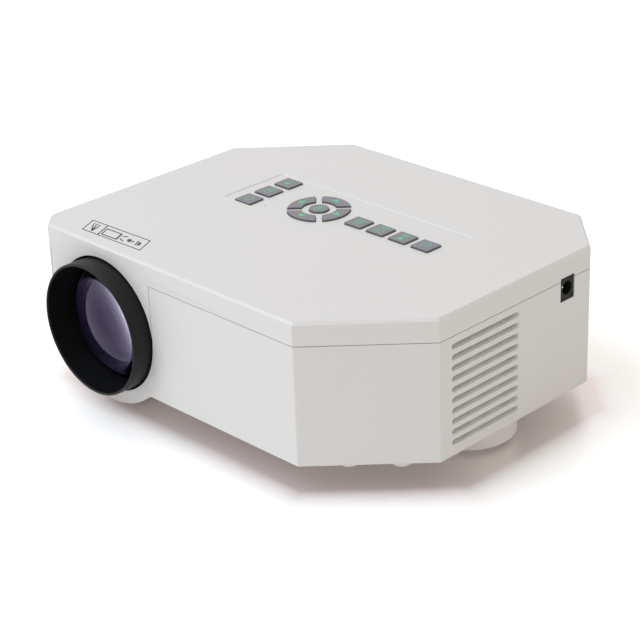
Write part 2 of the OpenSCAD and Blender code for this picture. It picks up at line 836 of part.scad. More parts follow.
// one board screw with its head's underside at z; up = -1 hangs it head down
module board_screw(site, z, up) {
  translate([site.x, site.y, z]) mirror([0, 0, up > 0 ? 0 : 1]) {
    cylinder(r = board_head_r, h = board_head_t, $fn = 48);
    translate([0, 0, -board_screw_l]) cylinder(r = pilot_r, h = board_screw_l + eps);
  }
}

module board_screws() color(steel) at_body() {
  for (s = main_posts) board_screw(s, main_top, 1);
  for (s = driver_posts) board_screw(s, driver_z + pcb_t, 1);
  for (s = key_board_posts) board_screw(s, key_board_top - key_board_t, -1);
}

// ---- optics ----

// plan of the optics box, moved in by t from its outer face
module optics_plan(t) {
  back = lens_x - fold_y - (mirror_t + box_wall) * sqrt2 + t * sqrt2;
  x0 = box_left + t;
  y1 = fold_y + tunnel_w / 2 - t;
  polygon([
    [x0, box_front + t], [box_right - t, box_front + t], [box_right - t, fold_y - tunnel_w / 2 + t],
    [tunnel_end - t, fold_y - tunnel_w / 2 + t], [tunnel_end - t, y1], [back + y1, y1], [x0, x0 - back]
  ]);
}

lid_sites = [
  [box_left + 4, box_front + 4], [box_right - 4, box_front + 4],
  [tunnel_end - 4, fold_y - tunnel_w / 2 + 4], [tunnel_end - 4, fold_y + tunnel_w / 2 - 4]
];

module optics_box() color(dark_plastic) at_body() difference() {
  union() {
    difference() {
      translate([0, 0, floor_z]) linear_extrude(box_top - floor_z) optics_plan(0);
      translate([0, 0, floor_z + box_wall]) linear_extrude(box_top) optics_plan(box_wall);
    }
    for (s = lid_sites) disc(s, column_r, floor_z + eps, box_top);
    // slots for the plates
    for (p = plate_list)
      for (x = [p[0] - 0.1 - plate_rib, p[0] + p[1] + 0.1])
        for (y = [fold_y - tunnel_w / 2 + 1, fold_y + tunnel_w / 2 - 3.6])
          box([x, y, floor_z + 1], [x + plate_rib, y + 2.6, box_top - 1]);
    box(
      [tunnel_end - eps, fold_y - lamp_w / 2, lens_z - lamp_w / 2 + 0.4],
      [lamp_tube_end, fold_y + lamp_w / 2, lens_z + lamp_w / 2 - 0.4]
    );
    box(
      [lamp_tube_end - 3, fold_y - lamp_flange_w / 2, lens_z - lamp_w / 2 + 0.4],
      [lamp_tube_end, fold_y + lamp_flange_w / 2, lens_z + lamp_w / 2 - 0.4]
    );
  }
  lens_rod(tube_rear_r + 0.6, sleeve_rear - past, sleeve_rear + box_wall + past);
  along_x(tunnel_end - box_wall - past, fold_y, lens_z) cylinder(r = shoulder_r, h = lamp_tube_end);
  along_x(condenser_x, fold_y, lens_z) cylinder(r = condenser_r, h = lamp_tube_end);
  for (s = lid_sites) disc(s, case_shank_r, box_top - 7, box_top + past);
  for (sx = [-1, 1])
    for (sz = [-1, 1]) {
      along_y(lens_x + sx * flange_bolt_x, box_front - past, lens_z + sz * flange_bolt_z)
        cylinder(r = case_shank_r, h = past + 6);
      along_x(lamp_tube_end - 4, fold_y + sx * lamp_bolt_y, lens_z + sz * lamp_bolt_z)
        cylinder(r = case_shank_r, h = 6);
    }
}

module optics_lid() color(dark_plastic) at_body() difference() {
  translate([0, 0, box_top]) linear_extrude(lid_t) optics_plan(0);
  for (s = lid_sites) disc(s, case_shank_r, box_top - past, box_top + lid_t + past);
  // slot for the panel's flat cable
  box([plate_list[1][0] + 0.2, fold_y - 9, box_top - past], [plate_list[1][0] + 2, fold_y + 9, box_top + lid_t + past]);
}

module optics_screws() color(steel) at_body() {
  for (s = lid_sites) {
    disc(s, 2.6, box_top + lid_t, box_top + lid_t + 1.8);
    disc(s, case_shank_r, box_top - 6, box_top + lid_t + 1);
  }
  for (sx = [-1, 1])
    for (sz = [-1, 1])
      along_y(lens_x + sx * flange_bolt_x, box_front - flange_t, lens_z + sz * flange_bolt_z) {
        translate([0, 0, -1.8]) cylinder(r = 2.6, h = 1.8);
        cylinder(r = case_shank_r, h = 8);
      }
}

module fold_mirror() color([0.85, 0.88, 0.9]) at_body()
  translate([lens_x, fold_y, floor_z + box_wall]) rotate(45)
    translate([-mirror_l / 2, 0, 0]) cube([mirror_l, mirror_t, box_top - floor_z - box_wall - 0.4]);

// one flat plate of the light path
module light_plate(i) {
  x = plate_list[i][0];
  box([x, fold_y - plate_w / 2, floor_z + box_wall], [x + plate_list[i][1], fold_y + plate_w / 2, box_top - 0.4]);
}

module front_fresnel() color(clear_glass) at_body() light_plate(0);
module rear_fresnel() color(clear_glass) at_body() light_plate(2);
module lcd_panel() color([0.2, 0.22, 0.26]) at_body() light_plate(1);

module condenser_lens() color(clear_glass) at_body() {
  sphere_r = 20;
  along_x(condenser_x, fold_y, lens_z) cylinder(r = condenser_r, h = 3);
  intersection() {
    along_x(condenser_x - 6, fold_y, lens_z) cylinder(r = shoulder_r, h = 6 + eps);
    translate([condenser_x + sqrt(pow(sphere_r, 2) - pow(shoulder_r, 2)), fold_y, lens_z]) sphere(r = sphere_r);
  }
}

module lamp_board() color([0.9, 0.9, 0.88]) at_body() {
  box(
    [lamp_tube_end, fold_y - 16, lens_z - 14],
    [lamp_tube_end + lamp_board_t, fold_y + 16, lens_z + 14]
  );
}

module led_chip() color([0.95, 0.85, 0.3]) at_body() {
  box([lamp_tube_end - 1, fold_y - 6, lens_z - 6], [lamp_tube_end, fold_y + 6, lens_z + 6]);
}

module heatsink() color([0.72, 0.73, 0.75]) at_body() {
  x0 = lamp_tube_end + lamp_board_t;
  pitch = (sink_top - sink_low - sink_fin_t) / (sink_fins - 1);
  difference() {
    box([x0, fold_y - sink_w / 2, sink_low], [x0 + sink_base_t, fold_y + sink_w / 2, sink_top]);
    for (sy = [-1, 1])
      for (sz = [-1, 1])
        along_x(x0 - past, fold_y + sy * lamp_bolt_y, lens_z + sz * lamp_bolt_z) cylinder(r = case_shank_r, h = 5);
  }
  for (i = [0:sink_fins - 1]) {
    z = sink_low + i * pitch;
    box([x0 + sink_base_t - eps, fold_y - sink_w / 2, z], [sink_end, fold_y + sink_w / 2, z + sink_fin_t]);
  }
}

module lamp_screws() color(steel) at_body() {
  x0 = lamp_tube_end - 3;
  for (sy = [-1, 1])
    for (sz = [-1, 1])
      along_x(x0, fold_y + sy * lamp_bolt_y, lens_z + sz * lamp_bolt_z) {
        translate([0, 0, -1.8]) cylinder(r = 2.4, h = 1.8);
        cylinder(r = case_shank_r, h = 8.4);
      }
}

// ---- fan and speaker ----

module fan_frame() color(part_black) at_body() {
  half = fan_size / 2;
  difference() {
    box([fan_back, fan_y - half, fan_z - half], [fan_front, fan_y + half, fan_z + half]);
    along_x(fan_back - past, fan_y, fan_z) cylinder(r = fan_bore_r, h = fan_t + 2 * past);
    for (sy = [-1, 1])
      for (sz = [-1, 1])
        along_x(fan_back - past, fan_y + sy * (half - 4), fan_z + sz * (half - 4))
          cylinder(r = 1.75, h = fan_t + 2 * past, $fn = 32);
  }
  // motor mount on three struts, with the bearing tube
  difference() {
    union() {
      along_x(fan_back, fan_y, fan_z) cylinder(r = hub_r, h = 1.4);
      along_x(fan_back, fan_y, fan_z) cylinder(r = 3.2, h = fan_t - 3);
      for (a = [30, 150, 270])
        along_x(fan_back, fan_y, fan_z) rotate(a) translate([hub_r - 1, -1, 0]) cube([fan_bore_r - hub_r + 1.5, 2, 1.4]);
    }
    along_x(fan_back + 1, fan_y, fan_z) cylinder(r = shaft_r + bearing_gap, h = fan_t);
  }
}

module fan_rotor() color([0.22, 0.22, 0.24]) at_body() along_x(fan_back, fan_y, fan_z) {
  cup = 1.8;
  difference() {
    translate([0, 0, cup]) cylinder(r = hub_r, h = fan_t - cup - 0.6);
    translate([0, 0, cup - past]) cylinder(r = hub_r - 1.4, h = fan_t - cup - 2 + past);
  }
  translate([0, 0, 1.4]) cylinder(r = shaft_r, h = fan_t - 2.4);
  intersection() {
    difference() {
      translate([0, 0, cup + 0.2]) cylinder(r = rotor_r, h = fan_t - cup - 1.2);
      cylinder(r = hub_r - 0.6, h = fan_t);
    }
    for (k = [0:blade_n - 1])
      rotate(k * 360 / blade_n) translate([hub_r - 1, 0, fan_t / 2 + 0.4])
        rotate([40, 0, 0]) translate([0, -0.6, -8]) cube([rotor_r, 1.2, 16]);
  }
}

module speaker() color([0.35, 0.35, 0.37]) at_body() translate([pod_site.x, pod_site.y, pod_z + pod_floor])
  rotate_extrude() polygon([
    [cone_r, 0.4], [speaker_r, 0.4], [speaker_r, 1.6], [cone_r + 1, 1.6], [9.5, 6], [9.5, 10.4], [0, 10.4], [0, 6.2],
    [8, 6.2], [cone_r, 1.4]
  ]);

module speaker_cone() color([0.15, 0.15, 0.16]) at_body() translate([pod_site.x, pod_site.y, pod_z + pod_floor])
  rotate_extrude() polygon([[0, 5.2], [0, 4.8], [5, 4.8], [cone_r - 1, 0.8], [cone_r, 0.8], [cone_r, 1.2], [cone_r - 1, 1.2], [5.2, 5.2]]);

// ---- focusing lens ----

module focus_ring() color(ring_black) at_body() on_lens_axis() rotate_extrude(){
  polygon([
    [ring_r - 0.6, -ring_out], [ring_r, -ring_out + 0.6], [ring_r, head_rear + 0.1], [head_r + run_gap, head_rear + 0.1],
    [head_r + run_gap, hood_end], [glass_r + 0.1, hood_end], [ring_r - 1.6, -ring_out + 1.1], [ring_r - 1, -ring_out]
  ]);
}

module helicoid_collar() color(dark_plastic) at_body()
  lens_pipe(ring_r, sleeve_r + run_gap, head_rear + 0.1, collar_rear);

module lens_barrel() color(dark_plastic) at_body() difference() {
  on_lens_axis() rotate_extrude() polygon([
    [glass_r, head_front], [head_r, head_front], [head_r, head_rear - 0.1], [tube_r, head_rear - 0.1],
    [tube_r, tube_step], [tube_rear_r, tube_step], [tube_rear_r, barrel_rear], [rear_r, barrel_rear],
    [rear_r, rear_seat], [middle_r, rear_seat], [middle_r, web_rear], [web_r, web_rear],
    [web_r, web_front], [24.2, web_front], [24.2, 7], [glass_r, 7]
  ]);
  // straight slot for the sleeve's guide pin
  box(
    [lens_x - pin_r - 0.15, front_y + pin_depth - pin_r - 0.4, lens_z + tube_r - 1.4],
    [lens_x + pin_r + 0.15, front_y + pin_depth + pin_r + focus_travel + 0.4, lens_z + tube_r + 1]
  );
}

module front_lens() color(coated_glass) at_body() {
  edge = 4;
  seat = 7;
  clear_r = 24.2;
  rear_curve = 110;
  intersection() {
    lens_rod(glass_r, -ring_out, seat);
    on_lens_axis(edge + sqrt(pow(glass_curve, 2) - pow(glass_r, 2))) sphere(r = glass_curve, $fn = 180);
  }
  intersection() {
    lens_rod(clear_r, seat - eps, seat + 4);
    on_lens_axis(seat - sqrt(pow(rear_curve, 2) - pow(clear_r, 2))) sphere(r = rear_curve, $fn = 180);
  }
}

module middle_lens() color(clear_glass) at_body() difference() {
  hollow = 90;
  sag = hollow - sqrt(pow(hollow, 2) - pow(web_r, 2));
  lens_rod(middle_r, web_rear, web_rear + 5);
  on_lens_axis(web_rear + sag - hollow) sphere(r = hollow, $fn = 180);
  on_lens_axis(web_rear + 5 - sag + hollow) sphere(r = hollow, $fn = 180);
}

module rear_lens() color(clear_glass) at_body() {
  curve = 60;
  lens_rod(rear_r, rear_seat, rear_seat + 3);
  intersection() {
    lens_rod(middle_r, rear_seat - 5, rear_seat + eps);
    on_lens_axis(rear_seat + sqrt(pow(curve, 2) - pow(middle_r, 2))) sphere(r = curve, $fn = 180);
  }
  intersection() {
    lens_rod(rear_r, rear_seat + 3 - eps, rear_seat + 8);
    on_lens_axis(rear_seat + 3 - sqrt(pow(curve, 2) - pow(rear_r, 2))) sphere(r = curve, $fn = 180);
  }
}

module lens_sleeve() color(dark_plastic) at_body() {
  difference() {
    union() {
      lens_rod(sleeve_r, sleeve_front, sleeve_rear);
      box(
        [lens_x - flange_w / 2, front_y + sleeve_rear - flange_t, lens_z - flange_h / 2],
        [lens_x + flange_w / 2, front_y + sleeve_rear, lens_z + flange_h / 2]
      );
    }
    lens_rod(tube_r + run_gap, sleeve_front - past, sleeve_rear + past);
    for (sx = [-1, 1])
      for (sz = [-1, 1])
        along_y(lens_x + sx * flange_bolt_x, box_front - flange_t - past, lens_z + sz * flange_bolt_z)
          cylinder(r = case_shank_r, h = flange_t + 2 * past);
  }
  // guide pin
  translate([lens_x, front_y + pin_depth, lens_z + tube_r - 1]) cylinder(r = pin_r, h = 1.8, $fn = 32);
}

// ---- wiring ----

module flex_cables() color([0.75, 0.45, 0.15]) at_body() {
  x0 = plate_list[1][0] + 0.6;
  y0 = fold_y - 7;
  y1 = fold_y + 7;
  over = box_top + lid_t + 0.6;
  box([x0, y0, box_top - 0.4], [x0 + 0.3, y1, over]);
  box([x0, y0, over - 0.3], [12, y1, over]);
  box([11.7, y0, main_top + 2], [12, y1, over]);
  box([29.8, 11, main_top + 2], [30.1, 21, key_board_top - key_board_t - 2]);
}

module wire_leads() color([0.7, 0.1, 0.1]) at_body() {
  t = 0.7;
  plug_z = main_top + 5 + t;
  fan_x = fan_back - t;
  lead([[fan_x, -2, 59], [fan_x, -2, 64], [fan_x, 8, 64], [76, 8, 64], [76, 8, plug_z]], t);
  lead([[34.8, fold_y - 16 - t, 33], [34.8, -22, 33], [34.8, -22, driver_z + pcb_t + 6 + t]], t);
  cone_z = pod_z + pod_floor + 10.4 + t;
  lead([[70, 3, cone_z], [62, 3, cone_z], [62, 3, 64], [54, 3, 64], [54, 8, 64], [54, 8, plug_z]], t);
}

top_cover();
bottom_tray();
power_key();
source_key();
mute_key();
menu_key();
aspect_key();
play_key();
back_key();
right_key();
up_key();
left_key();
down_key();
ok_key();
key_board();
tact_switches();
status_led();
main_board();
main_chip();
capacitors();
board_connectors();
av_jack();
usb_socket();
hdmi_socket();
vga_socket();
dc_jack();
dc_contacts();
ir_receiver();
ir_window();
driver_board();
driver_inductor();
board_screws();
optics_box();
optics_lid();
optics_screws();
fold_mirror();
front_fresnel();
lcd_panel();
rear_fresnel();
condenser_lens();
lamp_board();
led_chip();
heatsink();
lamp_screws();
fan_frame();
fan_rotor();
speaker();
speaker_cone();
focus_ring();
helicoid_collar();
lens_barrel();
front_lens();
middle_lens();
rear_lens();
lens_sleeve();
rubber_feet();
tripod_insert();
case_screws();
flex_cables();
wire_leads();
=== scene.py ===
# %% [markdown]
# # A compact LED projector
# The object is a small white projector with an eight-sided case, a black focusing
# lens at the front left and a keypad on top. Its inner parts, sizes and joints come
# packed as a frame of plain solids. This lesson models every piece that shows, gives
# each one a finish, and sets up the photograph's camera and light.
# The frame is loaded first, because each new piece has to ride on one of its bodies.

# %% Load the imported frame
import json
import math

import bmesh
import bpy
from mathutils import Matrix, Vector


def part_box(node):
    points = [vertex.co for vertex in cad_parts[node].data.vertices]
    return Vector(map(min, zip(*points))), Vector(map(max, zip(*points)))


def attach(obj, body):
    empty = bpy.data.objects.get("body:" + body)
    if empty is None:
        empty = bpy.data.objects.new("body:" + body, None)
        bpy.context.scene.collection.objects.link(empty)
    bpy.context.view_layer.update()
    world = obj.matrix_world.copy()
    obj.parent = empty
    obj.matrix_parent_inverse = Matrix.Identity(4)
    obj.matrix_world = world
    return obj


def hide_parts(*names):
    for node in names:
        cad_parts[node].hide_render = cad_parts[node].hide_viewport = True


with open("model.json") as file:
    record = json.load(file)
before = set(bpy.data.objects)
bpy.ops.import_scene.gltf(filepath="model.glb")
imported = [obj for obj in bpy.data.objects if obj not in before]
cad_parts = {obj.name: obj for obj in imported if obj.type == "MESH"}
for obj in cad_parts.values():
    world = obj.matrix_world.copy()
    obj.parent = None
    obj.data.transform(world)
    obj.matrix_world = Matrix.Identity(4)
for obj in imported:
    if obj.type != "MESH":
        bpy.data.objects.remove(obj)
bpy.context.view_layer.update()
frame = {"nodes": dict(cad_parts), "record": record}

MM = 0.001

# %% [markdown]
# The main planes of the case are written once, in millimetres in the frame's own
# axes: X to the right, Y to the rear, Z up from the table. Every later cell measures
# from these, so a piece can't drift away from the part that carries it. Cutters reach
# past the wall that they open, and a welded piece is sunk into the wall by its grip.

# %% Main planes of the case
RIGHT = 101.0
FRONT, REAR = -74.8, 84.2
MIDDLE_Y = (FRONT + REAR) / 2
BASE, SPLIT, TOP = 12.4, 65.8, 76.0
HALF_GAP = 0.15
WALL, TOP_WALL = 2.3, 2.2
PAST, DEEP, GRIP = 2, 5, 0.5
CUTS = {(-1, -1): 8.0, (-1, 1): 41.0, (1, 1): 24.5, (1, -1): 40.5}
LENS_X, LENS_Z = -57.0, 39.0
print("case:", 2 * RIGHT, "x", REAR - FRONT, "x", TOP - BASE, "mm")

# %% [markdown]
# ## Bench helpers
# Modelling by operators needs three habits. Only the piece being worked on may be
# selected, edit mode is entered and left in one place, and faces or edges are
# picked by where they are instead of by number. A few short helpers keep to them.

# %% Select, enter and leave
def pick(*objects):
    if bpy.context.object and bpy.context.object.mode != "OBJECT":
        bpy.ops.object.mode_set(mode="OBJECT")
    bpy.ops.object.select_all(action="DESELECT")
    for one in objects:
        one.select_set(True)
    bpy.context.view_layer.objects.active = objects[0]
    return objects[0]


def edit(piece, kind="FACE"):
    pick(piece)
    bpy.ops.object.mode_set(mode="EDIT")
    bpy.ops.mesh.select_mode(type=kind)
    bpy.ops.mesh.select_all(action="DESELECT")


def leave():
    bpy.ops.object.mode_set(mode="OBJECT")


def select_where(piece, kind, test):
    edit(piece, kind)
    shape = bmesh.from_edit_mesh(piece.data)
    shape.normal_update()
    parts = {"VERT": shape.verts, "EDGE": shape.edges, "FACE": shape.faces}[kind]
    chosen = [part for part in parts if test(part)]
    for part in chosen:
        part.select_set(True)
    bmesh.update_edit_mesh(piece.data)
    return len(chosen)


def named(name):
    made = bpy.context.object
    made.name = made.data.name = name
    bpy.ops.object.transform_apply(location=True, rotation=True, scale=True)
    return made


bpy.ops.object.select_all(action="DESELECT")
print("bench ready")

# %% [markdown]
# Most outlines here are a few straight lines and arcs. An outline is drawn as by
# hand: one vertex is extruded from point to point. The outline is then either filled
# and pulled up into a slab, or turned round an axis on the lathe.

# %% Draw an outline
def chain(name, points):
    bpy.ops.object.select_all(action="DESELECT")
    bpy.ops.mesh.primitive_plane_add(size=MM, location=(0, 0, 0))
    piece = named(name)
    edit(piece, "VERT")
    bpy.ops.mesh.select_all(action="SELECT")
    bpy.ops.mesh.merge(type="CENTER")
    bpy.ops.mesh.select_all(action="SELECT")
    bpy.ops.transform.translate(value=points[0])
    for here, there in zip(points, points[1:]):
        bpy.ops.mesh.extrude_vertices_move(TRANSFORM_OT_translate={"value": there - here})
    return piece


PLANES = {
    "xy": lambda u, v, w: Vector((u, v, w)) * MM,
    "xz": lambda u, v, w: Vector((u, w, v)) * MM,
    "yz": lambda u, v, w: Vector((w, u, v)) * MM,
}


def slab(name, points, plane, low, high):
    place = PLANES[plane]
    piece = chain(name, [place(u, v, low) for u, v in points])
    bpy.ops.mesh.select_all(action="SELECT")
    bpy.ops.mesh.edge_face_add()
    bpy.ops.mesh.extrude_region_move(TRANSFORM_OT_translate={"value": place(0, 0, high - low)})
    bpy.ops.mesh.select_all(action="SELECT")
    bpy.ops.mesh.normals_make_consistent(inside=False)
    leave()
    return piece


def turned(name, outline, centre, axis, steps):
    """The lathe: outline holds (radius, distance along the axis)."""
    across = Vector((1, 0, 0)) if abs(axis.x) < 0.5 else Vector((0, 1, 0))
    piece = chain(name, [(centre + across * r + axis * d) * MM for r, d in outline])
    bpy.ops.mesh.select_all(action="SELECT")
    bpy.ops.mesh.edge_face_add()
    bpy.ops.mesh.delete(type="ONLY_FACE")
    bpy.ops.mesh.select_all(action="SELECT")
    bpy.ops.mesh.spin(steps=steps, angle=2 * math.pi, center=centre * MM, axis=axis)
    bpy.ops.mesh.select_all(action="SELECT")
    bpy.ops.mesh.remove_doubles(threshold=0.00001)
    bpy.ops.mesh.normals_make_consistent(inside=False)
    leave()
    return piece


ALONG_Y, ALONG_Z = Vector((0, 1, 0)), Vector((0, 0, 1))
LENS_FRONT = Vector((LENS_X, FRONT, LENS_Z))
print("outlines, slabs and the lathe ready")

# %% [markdown]
# Arcs, rounded rectangles and the keypad's ring sectors are worked out as lists of
# points in a plane, by formula, so no point has to be typed.

# %% Outlines by formula
def arc(x, y, r, start, end, steps=8):
    turns = [math.radians(start + (end - start) * i / steps) for i in range(steps + 1)]
    return [(x + r * math.cos(t), y + r * math.sin(t)) for t in turns]


def circle(x, y, r, steps=64):
    return arc(x, y, r, 0, 360, steps)[:-1]


def rectangle(x0, y0, x1, y1):
    return [(x0, y0), (x1, y0), (x1, y1), (x0, y1)]


def drum(radius, low, high):
    """A plain cylinder's outline for the lathe."""
    return [(0, low), (radius, low), (radius, high), (0, high)]


def round_rectangle(x0, y0, x1, y1, r, steps=6):
    return (arc(x1 - r, y1 - r, r, 0, 90, steps) + arc(x0 + r, y1 - r, r, 90, 180, steps)
            + arc(x0 + r, y0 + r, r, 180, 270, steps) + arc(x1 - r, y0 + r, r, 270, 360, steps))


def sector(x, y, inner, outer, half_bar, turn):
    """A quarter of a ring, cut back on both sides by half a bar."""
    a = 45 - math.degrees(math.asin(half_bar / outer))
    b = 45 - math.degrees(math.asin(half_bar / inner))
    return arc(x, y, outer, turn - a, turn + a, 24) + arc(x, y, inner, turn + b, turn - b, 16)


print("outline formulas ready")

# %% [markdown]
# Two pieces are joined or carved with a boolean modifier, applied at once. The tool is
# used up by it, so every cutter is made where it is needed. What repeats is modelled
# once and copied.

# %% Carve, weld, join and copy
def boolean(piece, tool, operation):
    pick(piece)
    bpy.ops.object.modifier_add(type="BOOLEAN")
    step = piece.modifiers[-1]
    step.operation = operation
    step.solver = "EXACT"
    step.object = tool
    bpy.ops.object.modifier_apply(modifier=step.name)
    bpy.data.objects.remove(tool)
    return piece


def carve(piece, *tools):
    for tool in tools:
        boolean(piece, tool, "DIFFERENCE")
    return piece


def weld(piece, *tools):
    for tool in tools:
        boolean(piece, tool, "UNION")
    return piece


def join(*pieces):
    pick(*pieces)
    bpy.ops.object.join()
    return bpy.context.object


def copied(piece, name, move=(0, 0, 0)):
    twin = piece.copy()
    twin.data = piece.data.copy()
    twin.name = twin.data.name = name
    bpy.context.scene.collection.objects.link(twin)
    twin.data.transform(Matrix.Translation(Vector(move) * MM))
    return twin


print("carving tools ready")

# %% [markdown]
# Sharp edges never look real, so each finished piece gets a hair-fine bevel and smooth
# shading up to an angle. Normals are weighted by area, or the bevel would tilt the
# shading of the large flat faces beside it.

# %% Smooth, soften and clean
def smooth(piece, angle):
    """Smooth shading in which large flat faces keep their own direction."""
    pick(piece)
    bpy.ops.object.shade_smooth_by_angle(angle=math.radians(angle))
    bpy.ops.object.modifier_add(type="WEIGHTED_NORMAL")
    piece.modifiers[-1].keep_sharp = True
    bpy.ops.object.modifier_apply(modifier=piece.modifiers[-1].name)
    return piece


def soften(piece, width, segments=2, angle=32):
    pick(piece)
    bpy.ops.object.modifier_add(type="BEVEL")
    step = piece.modifiers[-1]
    step.width = width * MM
    step.segments = segments
    step.limit_method = "ANGLE"
    step.angle_limit = math.radians(angle)
    step.use_clamp_overlap = True
    bpy.ops.object.modifier_apply(modifier=step.name)
    return smooth(piece, angle)


def clean(piece):
    """Flat faces that a boolean cut up are made whole again."""
    edit(piece, "FACE")
    bpy.ops.mesh.select_all(action="SELECT")
    bpy.ops.mesh.remove_doubles(threshold=0.000005)
    bpy.ops.mesh.dissolve_limited(angle_limit=math.radians(0.5))
    leave()
    return piece


def count(piece):
    return f"{piece.name}: {len(piece.data.polygons)} faces"


print("softening tools ready")

# %% [markdown]
# ## The case
# Top cover and tray are moulded shells of one plan: a rectangle with its four corners
# cut at 45 degrees. A cube is cut by four planes, the upright edges are rounded, and
# a smaller block of the same plan hollows it out. Bisecting keeps the walls parallel,
# which scaling a shape down would not.

# %% A block of the case's plan
def case_block(name, inset, low, high, edge_round=0.0):
    half_y = (REAR - FRONT) / 2
    size = (2 * (RIGHT - inset) * MM, 2 * (half_y - inset) * MM, (high - low) * MM)
    bpy.ops.object.select_all(action="DESELECT")
    bpy.ops.mesh.primitive_cube_add(size=1, location=(0, MIDDLE_Y * MM, (low + high) / 2 * MM), scale=size)
    block = named(name)
    for (sx, sy), cut in CUTS.items():
        reach = (RIGHT + half_y - cut - inset * math.sqrt(2)) / math.sqrt(2)
        normal = Vector((sx, sy, 0)).normalized()
        edit(block, "FACE")
        bpy.ops.mesh.select_all(action="SELECT")
        bpy.ops.mesh.bisect(plane_co=Vector((0, MIDDLE_Y, 0)) * MM + normal * reach * MM,
                            plane_no=normal, use_fill=True, clear_outer=True)
        leave()
    if edge_round:
        select_where(block, "EDGE", lambda e: abs(e.verts[0].co.z - e.verts[1].co.z) > 2 * MM)
        bpy.ops.mesh.bevel(offset=edge_round * math.tan(math.radians(22.5)) * MM, segments=4, affect="EDGES")
        leave()
    return block


def bevel_rim(block, z, width, segments):
    def on_rim(edge):
        level = all(abs(v.co.z - z * MM) < 0.01 * MM for v in edge.verts)
        return level and any(abs(f.normal.z) < 0.5 for f in edge.link_faces)

    select_where(block, "EDGE", on_rim)
    bpy.ops.mesh.bevel(offset=width * MM, segments=segments, affect="EDGES")
    leave()


EDGE_ROUND = 1.0
cover = case_block("cover_shell", 0, SPLIT + HALF_GAP, TOP, EDGE_ROUND)
bevel_rim(cover, TOP, 1.0, 1)
print(count(cover))

# %% [markdown]
# The cover is hollow, with a thinner lip that the tray's tongue reaches into. Its
# front carries an apron, the upper half of the wall round the lens, which is why two
# upright seams run down beside the ring. The round hole is cut out of both shells.

# %% Hollow the cover and add the apron
APRON_LEFT, APRON_RIGHT = -92.0, -26.0
LIP_HEIGHT, LIP_PLAY = 2.2, 0.05
HOLE_R = 31.0


def lens_hole():
    return slab("lens_hole", circle(LENS_X, LENS_Z, HOLE_R, 128), "xz", FRONT - PAST, FRONT + WALL + PAST)


carve(cover, case_block("cavity", WALL, SPLIT - DEEP, TOP - TOP_WALL),
      case_block("lip", WALL / 2 - LIP_PLAY, SPLIT - DEEP, SPLIT + LIP_HEIGHT))
apron = rectangle(APRON_LEFT + HALF_GAP, LENS_Z + HALF_GAP, APRON_RIGHT - HALF_GAP, SPLIT + 2.5)
weld(cover, slab("apron", apron, "xz", FRONT, FRONT + WALL))
carve(cover, lens_hole())
print(count(cover))

# %% [markdown]
# The keypad sits in a shallow recess with sloped walls and one close opening per key.
# The openings are measured from the frame's own keys, each a quarter of a millimetre
# larger all round. A pinhole beside the keys lets the status light shine through.

# %% Recess and key openings
KEY_GAP = 0.25
RECESS = (-57.8, -2.3, 58.4, 35.0)
RECESS_Z, RECESS_SLOPE = TOP - 0.4, 0.39
PINHOLE_R = 0.5
PAD_X, PAD_Y = -14.2, 14.8
PAD_INNER, PAD_OUTER, HALF_BAR, DISC = 7.9, 14.1, 1.6, 4.4
KEY_W, KEY_D, KEY_TOP, KEY_CORNER = 9.6, 9.0, 76.5, 0.5
SQUARE_KEYS = ["power_key", "source_key", "mute_key", "menu_key", "aspect_key", "play_key", "back_key"]
RING_KEYS = {"right_key": 0, "up_key": 90, "left_key": 180, "down_key": 270}


def centre_of(node):
    low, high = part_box(node)
    middle = (low + high) / 2 / MM
    return middle.x, middle.y


def square_outline(x, y, grow, corner):
    w, d = KEY_W / 2 + grow, KEY_D / 2 + grow
    return round_rectangle(x - w, y - d, x + w, y + d, corner)


def ring_outline(turn, grow):
    return sector(PAD_X, PAD_Y, PAD_INNER - grow, PAD_OUTER + grow, HALF_BAR - grow, turn)


def open_top(outline):
    carve(cover, slab("opening", outline, "xy", TOP - DEEP, TOP + PAST))


recess = slab("recess", round_rectangle(*RECESS, 2.0), "xy", RECESS_Z, TOP + PAST)
bevel_rim(recess, RECESS_Z, RECESS_SLOPE, 1)
carve(cover, recess)
for node in SQUARE_KEYS:
    open_top(square_outline(*centre_of(node), KEY_GAP, KEY_CORNER + KEY_GAP))
for turn in RING_KEYS.values():
    open_top(ring_outline(turn, KEY_GAP))
open_top(circle(PAD_X, PAD_Y, DISC + KEY_GAP))
open_top(circle(*centre_of("status_led"), PINHOLE_R, 24))
print(count(cover))

# %% [markdown]
# The power inlet and the rear sockets cut through the split line, so one set of
# cutters serves both shells. Each is a little larger than the socket behind it.

# %% Cutters for the sockets
INLET_HOLE = (40.15, 56.5, 49.25, 67.3)
SOCKET_GAP = 0.3
AV_RISE, AV_HOLE_R = 3.4, 3.6


def rear_cutter(outline):
    return slab("cutter", outline, "xz", REAR - WALL - PAST, REAR + PAST)


def socket_cutters():
    made = [slab("cutter", rectangle(*INLET_HOLE), "yz", RIGHT - WALL - PAST, RIGHT + PAST)]
    for node in ("usb_socket", "hdmi_socket", "vga_socket"):
        low, high = (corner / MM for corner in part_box(node))
        made.append(rear_cutter(rectangle(low.x - SOCKET_GAP, low.z - SOCKET_GAP,
                                          high.x + SOCKET_GAP, high.z + SOCKET_GAP)))
    low, high = (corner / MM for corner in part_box("av_jack"))
    made.append(rear_cutter(circle((low.x + high.x) / 2, low.z + AV_RISE, AV_HOLE_R)))
    return made


CASE_BEVEL = 0.12
carve(cover, *socket_cutters())
soften(clean(cover), CASE_BEVEL)
print(count(cover))

# %% [markdown]
# The tray has the same plan, with everything that hangs below it: the lobe round the
# lower half of the lens, the round speaker pod, two rear legs and three short studs.
# Each is a turned or extruded shape welded on before the inside is hollowed.

